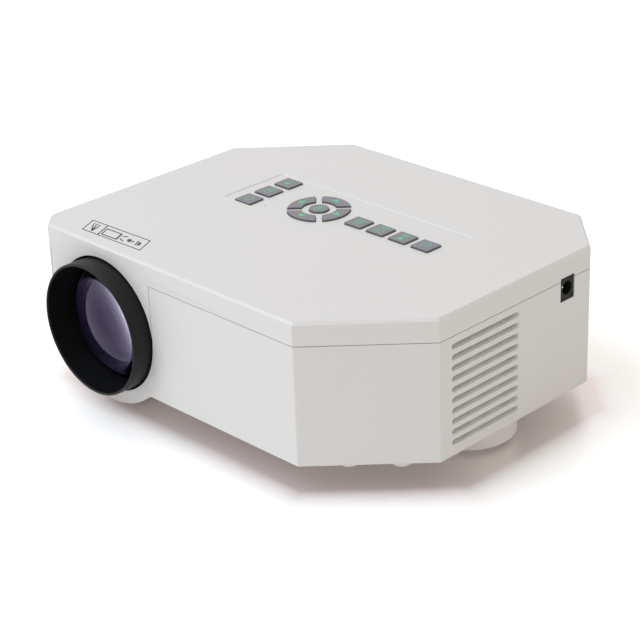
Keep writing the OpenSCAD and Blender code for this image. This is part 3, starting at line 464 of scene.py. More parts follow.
# %% Tray block and what hangs below it
tray = case_block("tray_shell", 0, BASE, SPLIT - HALF_GAP, EDGE_ROUND)
bevel_rim(tray, BASE, 0.4, 2)
LOBE_LEFT, LOBE_R, LOBE_LENGTH = -92.5, 37.2, 42.0
lobe = turned("lobe", [(0, 0), (LOBE_R - 0.6, 0), (LOBE_R, 0.6), (LOBE_R, LOBE_LENGTH - 1.5),
                       (LOBE_R - 0.5, LOBE_LENGTH - 0.4), (LOBE_R - 1.5, LOBE_LENGTH), (0, LOBE_LENGTH)],
              LENS_FRONT, ALONG_Y, 160)
keep = slab("keep", rectangle(LOBE_LEFT, 0, 0, SPLIT - HALF_GAP), "xz", FRONT - 1, FRONT + 60)
boolean(lobe, keep, "INTERSECT")
POD_X, POD_Y = 76.3, 9.7
LEGS = [(-62, 50.7), (57, 62.7)]
STUDS = [(68.1, -53.2), (83.9, -38.9), (92.3, -18.8)]
POD_OUTLINE = [(0, 1.8), (20.3, 1.8), (20.8, 1.93), (21.17, 2.3), (21.3, 2.8), (21.3, 15), (0, 15)]
LEG_OUTLINE = [(0, 1.8), (8.2, 1.8), (8.8, 2.1), (9, 2.7), (9, 14), (0, 14)]
STUD_OUTLINE = [(0, 8), (3.2, 8), (3.9, 8.3), (4.2, 9), (4.2, 14), (0, 14)]


def standing(name, outline, places, steps):
    """One turned foot, and a copy of it at each further place."""
    (x0, y0), *others = places
    first = turned(name, outline, Vector((x0, y0, 0)), ALONG_Z, steps)
    return [first] + [copied(first, name, (x - x0, y - y0, 0)) for x, y in others]


weld(tray, lobe, *standing("pod", POD_OUTLINE, [(POD_X, POD_Y)], 96))
weld(tray, join(*standing("leg", LEG_OUTLINE, LEGS, 64), *standing("stud", STUD_OUTLINE, STUDS, 48)))
print(count(tray))

# %% [markdown]
# Inside, the tray is hollowed with the plan's own block, a trough for the lens and a
# round well for the speaker. The screw posts stay, because from below one looks up
# into their counterbores.

# %% Hollow the tray
WELL_R, WELL_LOW, WELL_HIGH = 19, 3.8, 20
apron_gap = rectangle(APRON_LEFT - HALF_GAP, LENS_Z - HALF_GAP, APRON_RIGHT + HALF_GAP, SPLIT + DEEP)
carve(tray, case_block("cavity", WALL, BASE + WALL, SPLIT + DEEP),
      turned("trough", drum(LOBE_R - WALL, WALL, LOBE_LENGTH - WALL), LENS_FRONT, ALONG_Y, 128),
      turned("well", drum(WELL_R, WELL_LOW, WELL_HIGH), Vector((POD_X, POD_Y, 0)), ALONG_Z, 96),
      slab("apron_gap", apron_gap, "xz", FRONT - PAST, FRONT + WALL + 0.01),
      lens_hole())
weld(tray, carve(case_block("tongue", WALL / 2 + LIP_PLAY, SPLIT - 4, SPLIT + 2),
                 case_block("bore", WALL, SPLIT - 6, SPLIT + 6),
                 slab("front", rectangle(-110, SPLIT - 10, 110, SPLIT + 10), "xz", FRONT - 5, FRONT + WALL)))
SCREWS = [(-93.5, -47.3), (-94, 34.7), (-62, 66.7), (66, 73.7),
          (92.5, 28.7), (83.9, -38.9), (20, -67.3), (-20, -67.3)]
POST_R, BORE_R, BORE_TOP = 3.8, 3.0, 52
posts = [slab("post", circle(x, y, POST_R, 48), "xy", BASE + GRIP, SPLIT - 0.2) for x, y in SCREWS]
bores = [slab("counterbore", circle(x, y, BORE_R, 48), "xy", BASE - 8, BORE_TOP) for x, y in SCREWS]
weld(tray, join(*posts))
carve(tray, join(*bores))
print(count(tray))

# %% [markdown]
# The air outlet is ten slots with round ends. One slot is drawn and copied down the
# wall, and the same set serves the inlet on the left. A thicker panel behind the outlet
# makes its slots deep, so that one sees their floors and hardly ever the inside. The
# outlet's slot sides take a lighter, bluer white than the case: painted light. Two
# upright ribs cross behind it.

# %% Air slots and ribs
SLOTS, SLOT_PITCH, SLOT_H, SLOT_LOW = 10, 4.75, 2.5, 17.2
SLOT_HALF = 20.5


def slot_set(middle_y, x0, x1):
    end = SLOT_HALF - SLOT_H / 2
    z = SLOT_LOW + SLOT_H / 2
    outline = arc(middle_y + end, z, SLOT_H / 2, -90, 90) + arc(middle_y - end, z, SLOT_H / 2, 90, 270)
    first = slab("slot", outline, "yz", x0, x1)
    rest = [copied(first, "slot", (0, 0, SLOT_PITCH * i)) for i in range(1, SLOTS)]
    return join(first, *rest)


VENT_Y = -7.0
GRILLE = 1.4
PANEL_X = RIGHT - WALL - GRILLE
PANEL_HALF, PANEL_HIGH = 22, 63.45
RIBS, RIB_X, RIB_HALF = (-10.3, 2.3), 96.2, 0.6
inner_wall = RIGHT - WALL + GRIP
for y in RIBS:
    weld(tray, slab("rib", rectangle(RIB_X, y - RIB_HALF, inner_wall, y + RIB_HALF), "xy", 16.8, 61.8))
panel = rectangle(PANEL_X, VENT_Y - PANEL_HALF, inner_wall, VENT_Y + PANEL_HALF)
weld(tray, slab("panel", panel, "xy", BASE + WALL, PANEL_HIGH))
outlet = slot_set(VENT_Y, PANEL_X - 0.05, RIGHT + PAST)
inlet = slot_set(MIDDLE_Y, -RIGHT - PAST, -RIGHT + WALL + PAST)
carve(tray, outlet, inlet, *socket_cutters())
print(count(tray))

# %% [markdown]
# The underside gets its small openings: speaker holes in rings, the seats of the
# rubber pads, the tripod thread's pocket and the round infrared window at the rear.

# %% Small openings
SOUND_HOLE_R = 1.25
HOLE_RINGS = ((4, 6), (8, 12))
holes = [slab("hole", circle(POD_X, POD_Y, SOUND_HOLE_R, 20), "xy", 0, 5)]
for radius, many in HOLE_RINGS:
    holes += [copied(holes[0], "hole", (x, y, 0)) for x, y in circle(0, 0, radius, many)]
UNDER_POD = arc(POD_X, POD_Y, 14, 15, 255, 2)
PADS = [(x, y, 3.5) for x, y in UNDER_POD] + [(x, y, 6.5) for x, y in LEGS]
PAD_TOP, PAD_GAP = 2.4, 0.1
BUSH_X, BUSH_Y, BUSH_R, BUSH_TOP = -10, -3.3, 5, 21.4
WINDOW_X, WINDOW_Z, WINDOW_R = -50, 40, 3.4
CHIN_PAD = (-63, -65.8, -51, -49.8)
CHIN_PAD_TOP = 2.6
seats = [slab("seat", circle(x, y, r + PAD_GAP, 48), "xy", -1, PAD_TOP) for x, y, r in PADS]
carve(tray, join(*holes), join(*seats), slab("seat", rectangle(*CHIN_PAD), "xy", -1, CHIN_PAD_TOP),
      slab("bush_seat", circle(BUSH_X, BUSH_Y, BUSH_R, 48), "xy", 0, BUSH_TOP),
      rear_cutter(circle(WINDOW_X, WINDOW_Z, WINDOW_R, 48)))
soften(clean(tray), CASE_BEVEL)
print(count(tray))

# %% [markdown]
# ## Keys
# A square key is a soft grey cap, slightly proud of the recess, on a flange that
# keeps it from falling out and a stem that reaches the switch. One is modelled and
# copied to all seven places. The ring's keys are sectors, turned by quarters. The caps'
# sides take a darker grey, which is painted shade.

# %% Model the keys
FLANGE_LOW, FLANGE_TOP, FLANGE_REACH = 72.9, 73.7, 1
STEM_R, STEM_LENGTH = 1.6, 0.9
KEY_BEVEL = 0.22
CAP, INK, SIDE = range(3)


def key_body(name, cap, flange, stem_x, stem_y):
    top = slab(name, cap, "xy", FLANGE_LOW, KEY_TOP)
    bevel_rim(top, KEY_TOP, KEY_BEVEL, 3)
    weld(top, slab("flange", flange, "xy", FLANGE_LOW, FLANGE_TOP))
    stem = circle(stem_x, stem_y, STEM_R, 32)
    weld(top, slab("stem", stem, "xy", FLANGE_LOW - STEM_LENGTH, FLANGE_LOW + 0.2))
    smooth(clean(top), 35)
    for part in ("cap", "ink", "side"):
        top.data.materials.append(bpy.data.materials.new(part))
    for face in top.data.polygons:
        # Upright faces get the darker grey: painted shade on the caps' sides.
        face.material_index = SIDE if abs(face.normal.z) < 0.4 else CAP
    return top


square = key_body("square_key", square_outline(0, 0, 0, KEY_CORNER),
                  square_outline(0, 0, FLANGE_REACH, KEY_CORNER), 0, 0)
keys = {node: copied(square, node + "_cap", (*centre_of(node), 0)) for node in SQUARE_KEYS}
bpy.data.objects.remove(square)
mid_r = (PAD_INNER + PAD_OUTER) / 2
for node, turn in RING_KEYS.items():
    stem = (PAD_X + mid_r * math.cos(math.radians(turn)), PAD_Y + mid_r * math.sin(math.radians(turn)))
    keys[node] = key_body(node + "_cap", ring_outline(turn, 0), ring_outline(turn, FLANGE_REACH), *stem)
keys["ok_key"] = key_body("ok_key_cap", circle(PAD_X, PAD_Y, DISC), circle(PAD_X, PAD_Y, DISC + FLANGE_REACH),
                          PAD_X, PAD_Y)
print(len(keys), "keys,", count(keys["menu_key"]))

# %% [markdown]
# The marks on the keys are printed in a green ink. They are read from the right-hand
# side, so a mark's own across runs to the rear and its up runs to the left. Every
# mark is a list of outlines: bars, bands of a ring and plain polygons.

# %% Outlines of the marks
LINE = 0.34


def stroke(u0, v0, u1, v1, width=LINE):
    run = Vector((u1 - u0, v1 - v0)).normalized() * width / 2
    side = Vector((-run.y, run.x))
    ends = ((u0, v0, 1), (u0, v0, -1), (u1, v1, -1), (u1, v1, 1))
    return [(u + sign * side.x, v + sign * side.y) for u, v, sign in ends]


def band(radius, start, end, u=0.0):
    return arc(u, 0, radius + LINE / 2, start, end, 20) + arc(u, 0, radius - LINE / 2, end, start, 20)


def frame_strokes(u, half_u, half_v):
    trim = LINE / 2
    across = [stroke(u - half_u - trim, v, u + half_u + trim, v) for v in (-half_v, half_v)]
    upright = [stroke(side, trim - half_v, side, half_v - trim) for side in (u - half_u, u + half_u)]
    return across + upright


MARKS = {
    "power_key": [band(1.45, -235, 55), stroke(0, 0.5, 0, 1.95)],
    "source_key": [*frame_strokes(0.3, 1.5, 1.15), stroke(-2.2, 0, -0.2, 0),
                   [(-0.3, 0.65), (-0.3, -0.65), (0.7, 0)]],
    "mute_key": [[(-1.8, 0.5), (-1.8, -0.5), (-0.9, -0.5), (0.1, -1.3), (0.1, 1.3), (-0.9, 0.5)],
                 stroke(0.8, -0.7, 2.0, 0.7), stroke(0.8, 0.7, 2.0, -0.7)],
    "menu_key": [stroke(-2, v, 2, v, 0.4) for v in (-1.1, 0, 1.1)],
    "aspect_key": [*frame_strokes(0, 2.0, 1.5), [(-1.4, -0.1), (-0.2, -0.1), (-0.8, 0.8)],
                   [(1.4, 0.1), (0.2, 0.1), (0.8, -0.8)]],
    "play_key": [[(-2.0, 1.3), (-2.0, -1.3), (0.2, 0)]] + [stroke(u, -1.3, u, 1.3, 0.5) for u in (0.9, 1.9)],
    "back_key": [stroke(-1.2, 0.9, 1.1, 0.9), band(0.9, -90, 90, 1.1), stroke(-0.6, -0.9, 1.1, -0.9),
                 [(-2.0, 0.9), (-1.0, 1.6), (-1.0, 0.2)]],
    "ok_key": [band(1.7, 0, 359.5), circle(0, 0, 0.7, 24)],
}
ARROW = [(1.9, 0), (-1.4, 2.2), (-1.4, -2.2)]
MARK_SIZE = 1.38
print(len(MARKS), "marks drawn")

# %% [markdown]
# Thin slabs of ink, four hundredths of a millimetre high, keep the print crisp from
# any distance, and they join the key so that they move with it. The ring's four
# triangles point outwards.

# %% Print the marks on the keys
INK_SUNK, INK_PROUD = 0.02, 0.04


def printed(outlines, place, surface, proud):
    """One thin slab of ink for each outline, joined; place turns its points into x and y."""
    low, high = surface - INK_SUNK, surface + proud
    return join(*[slab("ink", [place(u, v) for u, v in outline], "xy", low, high) for outline in outlines])


def print_mark(node, outlines, place):
    key, mark = keys[node], printed(outlines, place, KEY_TOP, INK_PROUD)
    mark.data.materials.clear()
    key_faces = len(key.data.polygons)
    whole = join(key, mark)
    for face in whole.data.polygons[key_faces:]:
        face.material_index = INK


for node, outlines in MARKS.items():
    x, y = (PAD_X, PAD_Y) if node == "ok_key" else centre_of(node)
    print_mark(node, outlines, lambda u, v: (x - MARK_SIZE * v, y + MARK_SIZE * u))
for node, turn in RING_KEYS.items():
    t = math.radians(turn)
    along, side = Vector((math.cos(t), math.sin(t))), Vector((-math.sin(t), math.cos(t)))
    middle = Vector((PAD_X, PAD_Y)) + along * mid_r
    print_mark(node, [ARROW], lambda u, v: tuple(middle + along * u + side * v))
print("marks printed on", len(keys), "keys")

# %% [markdown]
# ## The lens
# Ring, barrel and glasses are all turned parts, so each is one outline on the lathe.
# The ring's front lip is rounded, and its inside runs back as a smooth cone to the
# glass. Distances are measured behind the case's front face.

# %% Turn the focus ring
LIP = [(29.5, -9.4), (29.75, -9.32), (29.93, -9.12), (30, -8.85)]
SEAT = [(30, 10.9), (29.8, 11.1), (28.1, 11.1), (28.1, 3.4), (27.0, 3.4)]
HOOD = [(27.0, 2.9), (28.8, -8.4), (28.85, -8.85), (28.98, -9.2), (29.2, -9.38)]
HOOD_R = 28.84
ring = smooth(turned("focus_ring_body", LIP + SEAT + HOOD, LENS_FRONT, ALONG_Y, 192), 38)
print(count(ring))

# %% [markdown]
# The glasses are spherical. The arc of a surface is found from its radius of
# curvature, and a fine outline keeps its highlight clean. The barrel's inside has
# fine steps, which real barrels have so that stray light dies on them.

# %% Turn the glasses and the barrel
def dome(radius, rim, edge, towards, steps=28):
    """Points from the axis to the rim; towards is -1 for a face that bulges forwards."""
    centre = edge - towards * math.sqrt(radius ** 2 - rim ** 2)
    turns = [math.asin(rim / radius) * i / steps for i in range(steps + 1)]
    return [(radius * math.sin(t), centre + towards * radius * math.cos(t)) for t in turns]


def hollow(radius, rim, edge, towards):
    """The same arc turned inwards, for a glass that is thin in the middle."""
    return [(r, 2 * edge - along) for r, along in dome(radius, rim, edge, towards)]


def glass(name, front, back):
    return smooth(turned(name, front + back[::-1], LENS_FRONT, ALONG_Y, 160), 20)


FRONT_R, MIDDLE_R, REAR_R = 26.9, 19, 20.9
front_glass = glass("front_glass", dome(48, FRONT_R, 4, -1), dome(110, 24.2, 7, 1) + [(FRONT_R, 7)])
middle_glass = glass("middle_glass", hollow(90, 17, 22, -1) + [(MIDDLE_R, 22)],
                     hollow(90, 17, 27, 1) + [(MIDDLE_R, 27)])
rear_glass = glass("rear_glass", dome(60, 19, 32, -1) + [(REAR_R, 32)], dome(60, REAR_R, 35, 1))
BORE, CREST, STEPS, STEP_PITCH = 24.2, 23.7, 9, 1.3
baffle = []
for i in range(STEPS):
    start = 8.0 + STEP_PITCH * i
    baffle += [(BORE, start), (CREST, start + 0.2), (CREST, start + 0.9), (BORE, start + 1.1)]
OUTSIDE = [(FRONT_R, 3.6), (28.04, 3.6), (28.04, 10.9), (26, 10.9), (26, 34),
           (22, 34), (22, 46), (REAR_R, 46)]
SEATS = [(REAR_R, 32), (MIDDLE_R, 32), (MIDDLE_R, 22), (17, 22), (17, 20)]
inside = baffle[::-1] + [(BORE, 7), (FRONT_R, 7)]
barrel = turned("barrel_body", OUTSIDE + SEATS + inside, LENS_FRONT, ALONG_Y, 128)
GUIDE_HALF = 1.35
guide_slot = rectangle(LENS_X - GUIDE_HALF, FRONT + 16.4, LENS_X + GUIDE_HALF, FRONT + 25.6)
carve(barrel, slab("guide_slot", guide_slot, "xy", LENS_Z + 24.6, LENS_Z + 30))
smooth(barrel, 30)
print(count(front_glass), "|", count(barrel))

# %% [markdown]
# ## Small parts that show
# The power inlet is a moulded block with a deep round hole, a pin in the middle and a
# bright spring contact at its left edge. It is carved from a block, with the same
# real sizes as the frame's solid. Only the contact is drawn a little wider, since in
# the photograph its tip glints, and it would be finer than a pixel.

# %% Power inlet
INLET_X, INLET_Y, INLET_Z = 100.6, 44.7, 61.9
INLET_HALF, INLET_LENGTH = 4.35, 13
HOLE_DEPTH, PLUG_R = 9.5, 3.0
SPRING_LEFT, SPRING_LOW, SPRING_HIGH, SPRING_LENGTH = -3.35, 0.55, 1.45, 6
PIN_OUTLINE = [(0, -9.5), (1.05, -9.5), (1.05, -4), (0.9, -3.65), (0.6, -3.5), (0, -3.5)]


def spring_outline(right):
    return rectangle(INLET_Y + SPRING_LEFT, INLET_Z + SPRING_LOW, INLET_Y + right, INLET_Z + SPRING_HIGH)


block = rectangle(INLET_Y - INLET_HALF, 56.5, INLET_Y + INLET_HALF, 67.1)
inlet_block = slab("inlet_block", block, "yz", INLET_X - INLET_LENGTH, INLET_X)
plug_hole = circle(INLET_Y, INLET_Z, PLUG_R, 64)
carve(inlet_block, slab("hole", plug_hole, "yz", INLET_X - HOLE_DEPTH, INLET_X + 1),
      slab("spring_slot", spring_outline(-1.5), "yz", INLET_X - SPRING_LENGTH, INLET_X + 1))
soften(clean(inlet_block), 0.15)
pin = turned("inlet_contacts", PIN_OUTLINE, Vector((INLET_X, INLET_Y, INLET_Z)), Vector((1, 0, 0)), 32)
spring = slab("spring", spring_outline(-2.2), "yz", INLET_X - SPRING_LENGTH, INLET_X - 0.3)
contacts = join(pin, soften(spring, 0.1))
print(count(inlet_block), "|", count(contacts))

# %% [markdown]
# The rubber pads are short discs and one block, each with a rounded lower edge so
# that it doesn't mark the table.

# %% Rubber pads
pads = []
for x, y, r in PADS:
    outline = [(0, 0), (r - 0.5, 0), (r - 0.15, 0.15), (r, 0.5), (r, PAD_TOP), (0, PAD_TOP)]
    pads.append(turned("pad", outline, Vector((x, y, 0)), ALONG_Z, 48))
chin_pad = slab("chin_pad", round_rectangle(*CHIN_PAD, 0.6, 3), "xy", 0, CHIN_PAD_TOP)
bevel_rim(chin_pad, 0, 0.4, 3)
feet = join(chin_pad, *pads)
feet.name = feet.data.name = "rubber_pads"
smooth(feet, 40)
print(count(feet))

# %% [markdown]
# Sockets, screws and the fan already have their real form in the frame, where they
# are loose triangles with hard facets. A copy of each is merged into one skin, gets a
# fine bevel and smooth shading, and stands in for the solid.

# %% Smooth copies of the small solids
def dressed(node, width):
    piece = copied(frame["nodes"][node], node + "_skin")
    piece.parent = None
    piece.data.materials.clear()
    return soften(clean(piece), width, 1)


BEVELS = {
    "usb_socket": 0.08, "hdmi_socket": 0.08, "vga_socket": 0.12, "av_jack": 0.12,
    "ir_window": 0.15, "tripod_insert": 0.15, "case_screws": 0.08, "fan_frame": 0.15,
    "fan_rotor": 0.1, "helicoid_collar": 0.15, "lens_sleeve": 0.15, "status_led": 0.05,
    "speaker_cone": 0.05,
}
skins = {node: dressed(node, width) for node, width in BEVELS.items()}
print(len(skins), "solids dressed")

# %% [markdown]
# ## Finishes
# A finish is a node tree. Written as wires it is hard to read, so a small class wraps
# a socket and lets masks be added and multiplied like numbers.

# %% Shader values as Python values
class Value:
    def __init__(self, finish, socket):
        self.finish, self.socket = finish, socket

    def _math(self, operation, left, right):
        return self.finish.node("ShaderNodeMath", {"operation": operation}, {0: left, 1: right})

    def __add__(self, other):
        return self._math("ADD", self, other)

    def __radd__(self, other):
        return self._math("ADD", other, self)

    def __sub__(self, other):
        return self._math("SUBTRACT", self, other)

    def __rsub__(self, other):
        return self._math("SUBTRACT", other, self)

    def __mul__(self, other):
        return self._math("MULTIPLY", self, other)

    def __rmul__(self, other):
        return self._math("MULTIPLY", other, self)

    def __rpow__(self, other):
        return self._math("POWER", other, self)

    def __abs__(self):
        return self._math("ABSOLUTE", self, 0.0)

    def __gt__(self, other):
        return self._math("GREATER_THAN", self, other)

    def at_least(self, other):
        return self._math("MAXIMUM", self, other)

    def at_most(self, other):
        return self._math("MINIMUM", self, other)


print("shader values ready")

# %% [markdown]
# A second class holds the tree of one finish, or of the world's background. One
# method adds a node, sets it up and connects it, and everything else goes through it.
# Textures are measured in millimetres on the object, so that a grain has its real size.

# %% A finish and its nodes
class Finish:
    def __init__(self, name, world=None, **settings):
        self.material = world or bpy.data.materials.new(name)
        self.material.use_nodes = True
        self.tree = self.material.node_tree
        self.surface = self.tree.nodes["Background" if world else "Principled BSDF"]
        for key, value in settings.items():
            self.feed(key.replace("_", " "), value)

    def node(self, kind, setup=None, inputs=None, output=0):
        made = self.tree.nodes.new(kind)
        for key, value in (setup or {}).items():
            setattr(made, key, value)
        for key, value in (inputs or {}).items():
            self.connect(made.inputs[key], value)
        return Value(self, made.outputs[output])

    def connect(self, socket, value):
        if isinstance(value, Value):
            self.tree.links.new(value.socket, socket)
        elif socket.type == "RGBA":
            socket.default_value = (*value, 1)
        else:
            socket.default_value = value

    def feed(self, name, value):
        self.connect(self.surface.inputs[name], value)
        return self

    def place(self):
        return self.node("ShaderNodeTexCoord", output=3)

    def noise(self, size, detail=2.0, roughness=0.5):
        """Soft random values about 0.5; size is the width of a spot in millimetres."""
        inputs = {"Vector": self.place(), "Scale": 1 / (size * MM), "Detail": detail, "Roughness": roughness}
        return self.node("ShaderNodeTexNoise", {}, inputs)

    def blend(self, share, low, high):
        return self.node("ShaderNodeMix", {"data_type": "RGBA"}, {0: share, 6: low, 7: high}, output=2)

    def bump(self, height, depth):
        """depth is the height of the relief in millimetres."""
        inputs = {"Strength": 1.0, "Distance": depth * MM, "Height": height}
        return self.feed("Normal", self.node("ShaderNodeBump", {}, inputs))


def shade(colour, factor):
    return tuple(min(1.0, c * factor) for c in colour)


print("finish tools ready")

# %% [markdown]
# Moulded plastic is never flat: the mould is spark-eroded to a fine grain, and the
# gloss varies a little from place to place. One recipe makes all the plastics, with
# the grain's size, its depth, the gloss and a faint mottling of the colour.

# %% Plastics
def moulded(name, colour, gloss, grain, depth, mottle, **settings):
    finish = Finish(name, **settings)
    cloud = finish.noise(14, 3)
    fine = finish.noise(grain, 2, 0.6)
    finish.feed("Base Color", finish.blend(cloud, shade(colour, 1 - mottle), shade(colour, 1 + mottle)))
    finish.feed("Roughness", gloss + 0.10 * (fine - 0.5) + 0.08 * (cloud - 0.5))
    finish.bump(fine, depth)
    return finish.material


WHITE = (0.72, 0.72, 0.72)
INK_GREEN = (0.12, 0.52, 0.28)
white_case = moulded("white_case", WHITE, 0.42, 0.55, 0.012, 0.008)
# A lighter, bluer white for the sides of the outlet's slots: painted light.
slot_white_painted_light = moulded("slot_white_painted_light", (0.96, 0.99, 0.995), 0.3, 0.55, 0.012, 0.004)
ring_black = moulded("ring_black", (0.012, 0.013, 0.013), 0.42, 0.4, 0.012, 0.05, Specular_IOR_Level=0.17)
# The inside of the hood: less glossy than the ring, and its darker colour is painted shade.
hood_black_painted_shade = moulded("hood_black_painted_shade", (0.0035, 0.004, 0.0045), 0.5, 0.4, 0.012, 0.05, Specular_IOR_Level=0.08)
inner_black = moulded("inner_black", (0.004, 0.004, 0.005), 0.5, 0.6, 0.01, 0.05, Specular_IOR_Level=0.12)
key_grey = moulded("key_grey", (0.224, 0.222, 0.252), 0.5, 0.35, 0.008, 0.03)
# A darker copy of the key grey for the caps' sides: painted shade.
key_side_painted_shade = moulded("key_side_painted_shade", (0.13, 0.12, 0.13), 0.5, 0.35, 0.008, 0.03)
moulded_black = moulded("moulded_black", (0.012, 0.012, 0.0125), 0.4, 0.5, 0.01, 0.05,
                        Specular_IOR_Level=0.13)
soft_rubber = moulded("soft_rubber", (0.035, 0.035, 0.036), 0.75, 0.8, 0.02, 0.10)
ivory_nylon = moulded("ivory_nylon", (0.75, 0.70, 0.58), 0.4, 0.7, 0.01, 0.03)
socket_blue = moulded("socket_blue", (0.03, 0.08, 0.38), 0.4, 0.6, 0.01, 0.04)
wire_red = moulded("wire_red", (0.45, 0.02, 0.02), 0.35, 0.8, 0.01, 0.06)
flex_amber = moulded("flex_amber", (0.45, 0.20, 0.03), 0.25, 1.2, 0.005, 0.08)
cone_paper = moulded("cone_paper", (0.05, 0.05, 0.055), 0.8, 0.3, 0.03, 0.15)
window_red = moulded("window_red", (0.06, 0.004, 0.012), 0.12, 0.8, 0.002, 0.05, Coat_Weight=0.6)
lamp_yellow = moulded("lamp_yellow", (0.80, 0.60, 0.06), 0.4, 0.3, 0.01, 0.06)
light_clear = moulded("light_clear", (0.80, 0.80, 0.76), 0.15, 0.8, 0.002, 0.02)
print("plastics ready")

# %% [markdown]
# The keys carry the print, whose ink is slightly glossier than the cap and not quite
# even. The label print is black.

# %% Inks
def ink(name, colour):
    finish = Finish(name)
    spots = finish.noise(0.25, 3, 0.6)
    finish.feed("Base Color", finish.blend(spots, shade(colour, 0.82), shade(colour, 1.15)))
    finish.feed("Roughness", 0.38 + 0.15 * (spots - 0.5))
    finish.bump(spots, 0.004)
    return finish.material


green_ink = ink("green_ink", INK_GREEN)
black_ink = ink("black_ink", (0.015, 0.015, 0.018))
print("inks ready")

# %% [markdown]
# Metals differ by how they were worked. Plated steel has a faint cloud in its gloss,
# turned brass has fine rings, and an extruded heat sink has lines along its length.
# Stretching the noise along one axis draws such lines.

# %% Metals
def worked_metal(name, colour, gloss, stretch=(1, 1, 1), grain=0.4, depth=0.004):
    finish = Finish(name, Metallic=1.0)
    scale = tuple(1 / (grain * s * MM) for s in stretch)
    lengthened = finish.node("ShaderNodeMapping", {}, {"Vector": finish.place(), "Scale": scale})
    lines = finish.node("ShaderNodeTexNoise", {}, {"Vector": lengthened, "Scale": 1.0, "Detail": 3.0})
    cloud = finish.noise(6, 2)
    finish.feed("Base Color", finish.blend(cloud, shade(colour, 0.93), shade(colour, 1.05)))
    finish.feed("Roughness", gloss + 0.15 * (lines - 0.5) + 0.1 * (cloud - 0.5))
    finish.bump(lines, depth)
    return finish.material


plated_steel = worked_metal("plated_steel", (0.62, 0.62, 0.63), 0.28)
screw_steel = worked_metal("screw_steel", (0.45, 0.45, 0.47), 0.35)
turned_brass = worked_metal("turned_brass", (0.78, 0.57, 0.25), 0.25, (4, 4, 0.4))
drawn_aluminium = worked_metal("drawn_aluminium", (0.70, 0.71, 0.73), 0.35, (12, 1, 1))
can_sleeve = worked_metal("can_sleeve", (0.10, 0.11, 0.16), 0.3)
wound_copper = worked_metal("wound_copper", (0.70, 0.34, 0.17), 0.3, (1, 1, 0.3), 0.8, 0.03)
mirror_silver = worked_metal("mirror_silver", (0.90, 0.91, 0.92), 0.03, (1, 1, 1), 3.0, 0.0002)
print("metals ready")

# %% [markdown]
# A circuit board is green lacquer over copper. Where copper lies under the lacquer
# the green is lighter and stands a little higher. Angular cells make believable
# tracks, since the boards are only glimpsed through the slots.

# %% Circuit board
def circuit_board():
    finish = Finish("circuit_board")
    tracks = finish.node("ShaderNodeTexVoronoi", {"distance": "MANHATTAN", "feature": "F1"},
                         {"Vector": finish.place(), "Scale": 1 / (2.4 * MM)}) > 0.45
    finish.feed("Base Color", finish.blend(tracks, (0.012, 0.10, 0.045), (0.03, 0.20, 0.09)))
    finish.feed("Roughness", 0.32 + 0.1 * tracks)
    finish.bump(tracks, 0.03)
    return finish.material


board_green = circuit_board()
print("board ready")

# %% [markdown]
# The front glass is the piece that catches the eye. Its coating turns reflections
# purple and weakens them, so the glass looks dark over the black inside of the barrel.
# A low refractive index makes the reflections that weak, and leaves one bright
# crescent at the right, where light is turned back inside the glass.

# %% Glasses
def lens_glass(name, tint, body, ior):
    finish = Finish(name, Transmission_Weight=1.0, IOR=ior, Specular_Tint=tint, Base_Color=body)
    smear = finish.noise(9, 3)
    finish.feed("Roughness", 0.02 * smear)
    return finish.material


coated_glass = lens_glass("coated_glass", (0.40, 0.20, 0.90), (0.80, 0.73, 0.96), 1.31)
clear_glass = lens_glass("clear_glass", (0.45, 0.30, 1.0), (0.96, 0.97, 0.99), 1.05)
panel_glass = moulded("panel_glass", (0.03, 0.035, 0.05), 0.08, 2.0, 0.001, 0.05)
print("glasses ready")

# %% [markdown]
# ## Hand over
# Every new piece takes its finish, rides on its body and stands for the frame's
# solids that it replaces. The rest of the frame's solids keep their own shape and
# only take a finish, by the material slot that the record gives them. A new coat sends
# every face back to the first finish, so faces are sorted only after it. The sides of
# the outlet's slots are one group of such faces, in a lighter white that is painted
# light, and the inside of the hood is another, in a darker black that is painted shade.

# %% Give each piece its finish and its body
BODY_OF = {node: body for body, nodes in frame["record"]["behaviour"]["bodies"].items() for node in nodes}
SLOT_OF = {part["node"]: part["material_slot"] for part in frame["record"]["subparts"]}


def coat(piece, *finishes):
    piece.data.materials.clear()
    for finish in finishes:
        piece.data.materials.append(finish)
    return piece


def hand_over(piece, node):
    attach(piece, BODY_OF[node])
    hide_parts(node)


NEAR = 0.1
SLOT_HIGH = SLOT_LOW + SLOT_PITCH * (SLOTS - 1) + SLOT_H


def lines_a_slot(face):
    x, y, z = face.center / MM
    within = abs(y - VENT_Y) < SLOT_HALF + NEAR and SLOT_LOW - NEAR < z < SLOT_HIGH + NEAR
    return within and PANEL_X - NEAR < x < RIGHT - 2 * NEAR and abs(face.normal.x) < 0.5


def lines_the_hood(face):
    x, y, z = face.center / MM
    return math.hypot(x - LENS_X, z - LENS_Z) < HOOD_R


hand_over(coat(cover, white_case), "top_cover")
coat(tray, white_case, slot_white_painted_light)
# Faces lining the outlet's slots take the lighter white, painted light.
for face in tray.data.polygons:
    face.material_index = int(lines_a_slot(face))
hand_over(tray, "bottom_tray")
for node, cap in keys.items():
    for place, finish in ((CAP, key_grey), (INK, green_ink), (SIDE, key_side_painted_shade)):
        cap.data.materials[place] = finish
    hand_over(cap, node)
coat(ring, ring_black, hood_black_painted_shade)
# Faces inside the hood take the darker black, painted shade.
for face in ring.data.polygons:
    face.material_index = int(lines_the_hood(face))
hand_over(ring, "focus_ring")
hand_over(coat(barrel, inner_black), "lens_barrel")
hand_over(coat(front_glass, coated_glass), "front_lens")
hand_over(coat(middle_glass, clear_glass), "middle_lens")
hand_over(coat(rear_glass, clear_glass), "rear_lens")
hand_over(coat(inlet_block, moulded_black), "dc_jack")
hand_over(coat(contacts, plated_steel), "dc_contacts")
hand_over(coat(feet, soft_rubber), "rubber_feet")

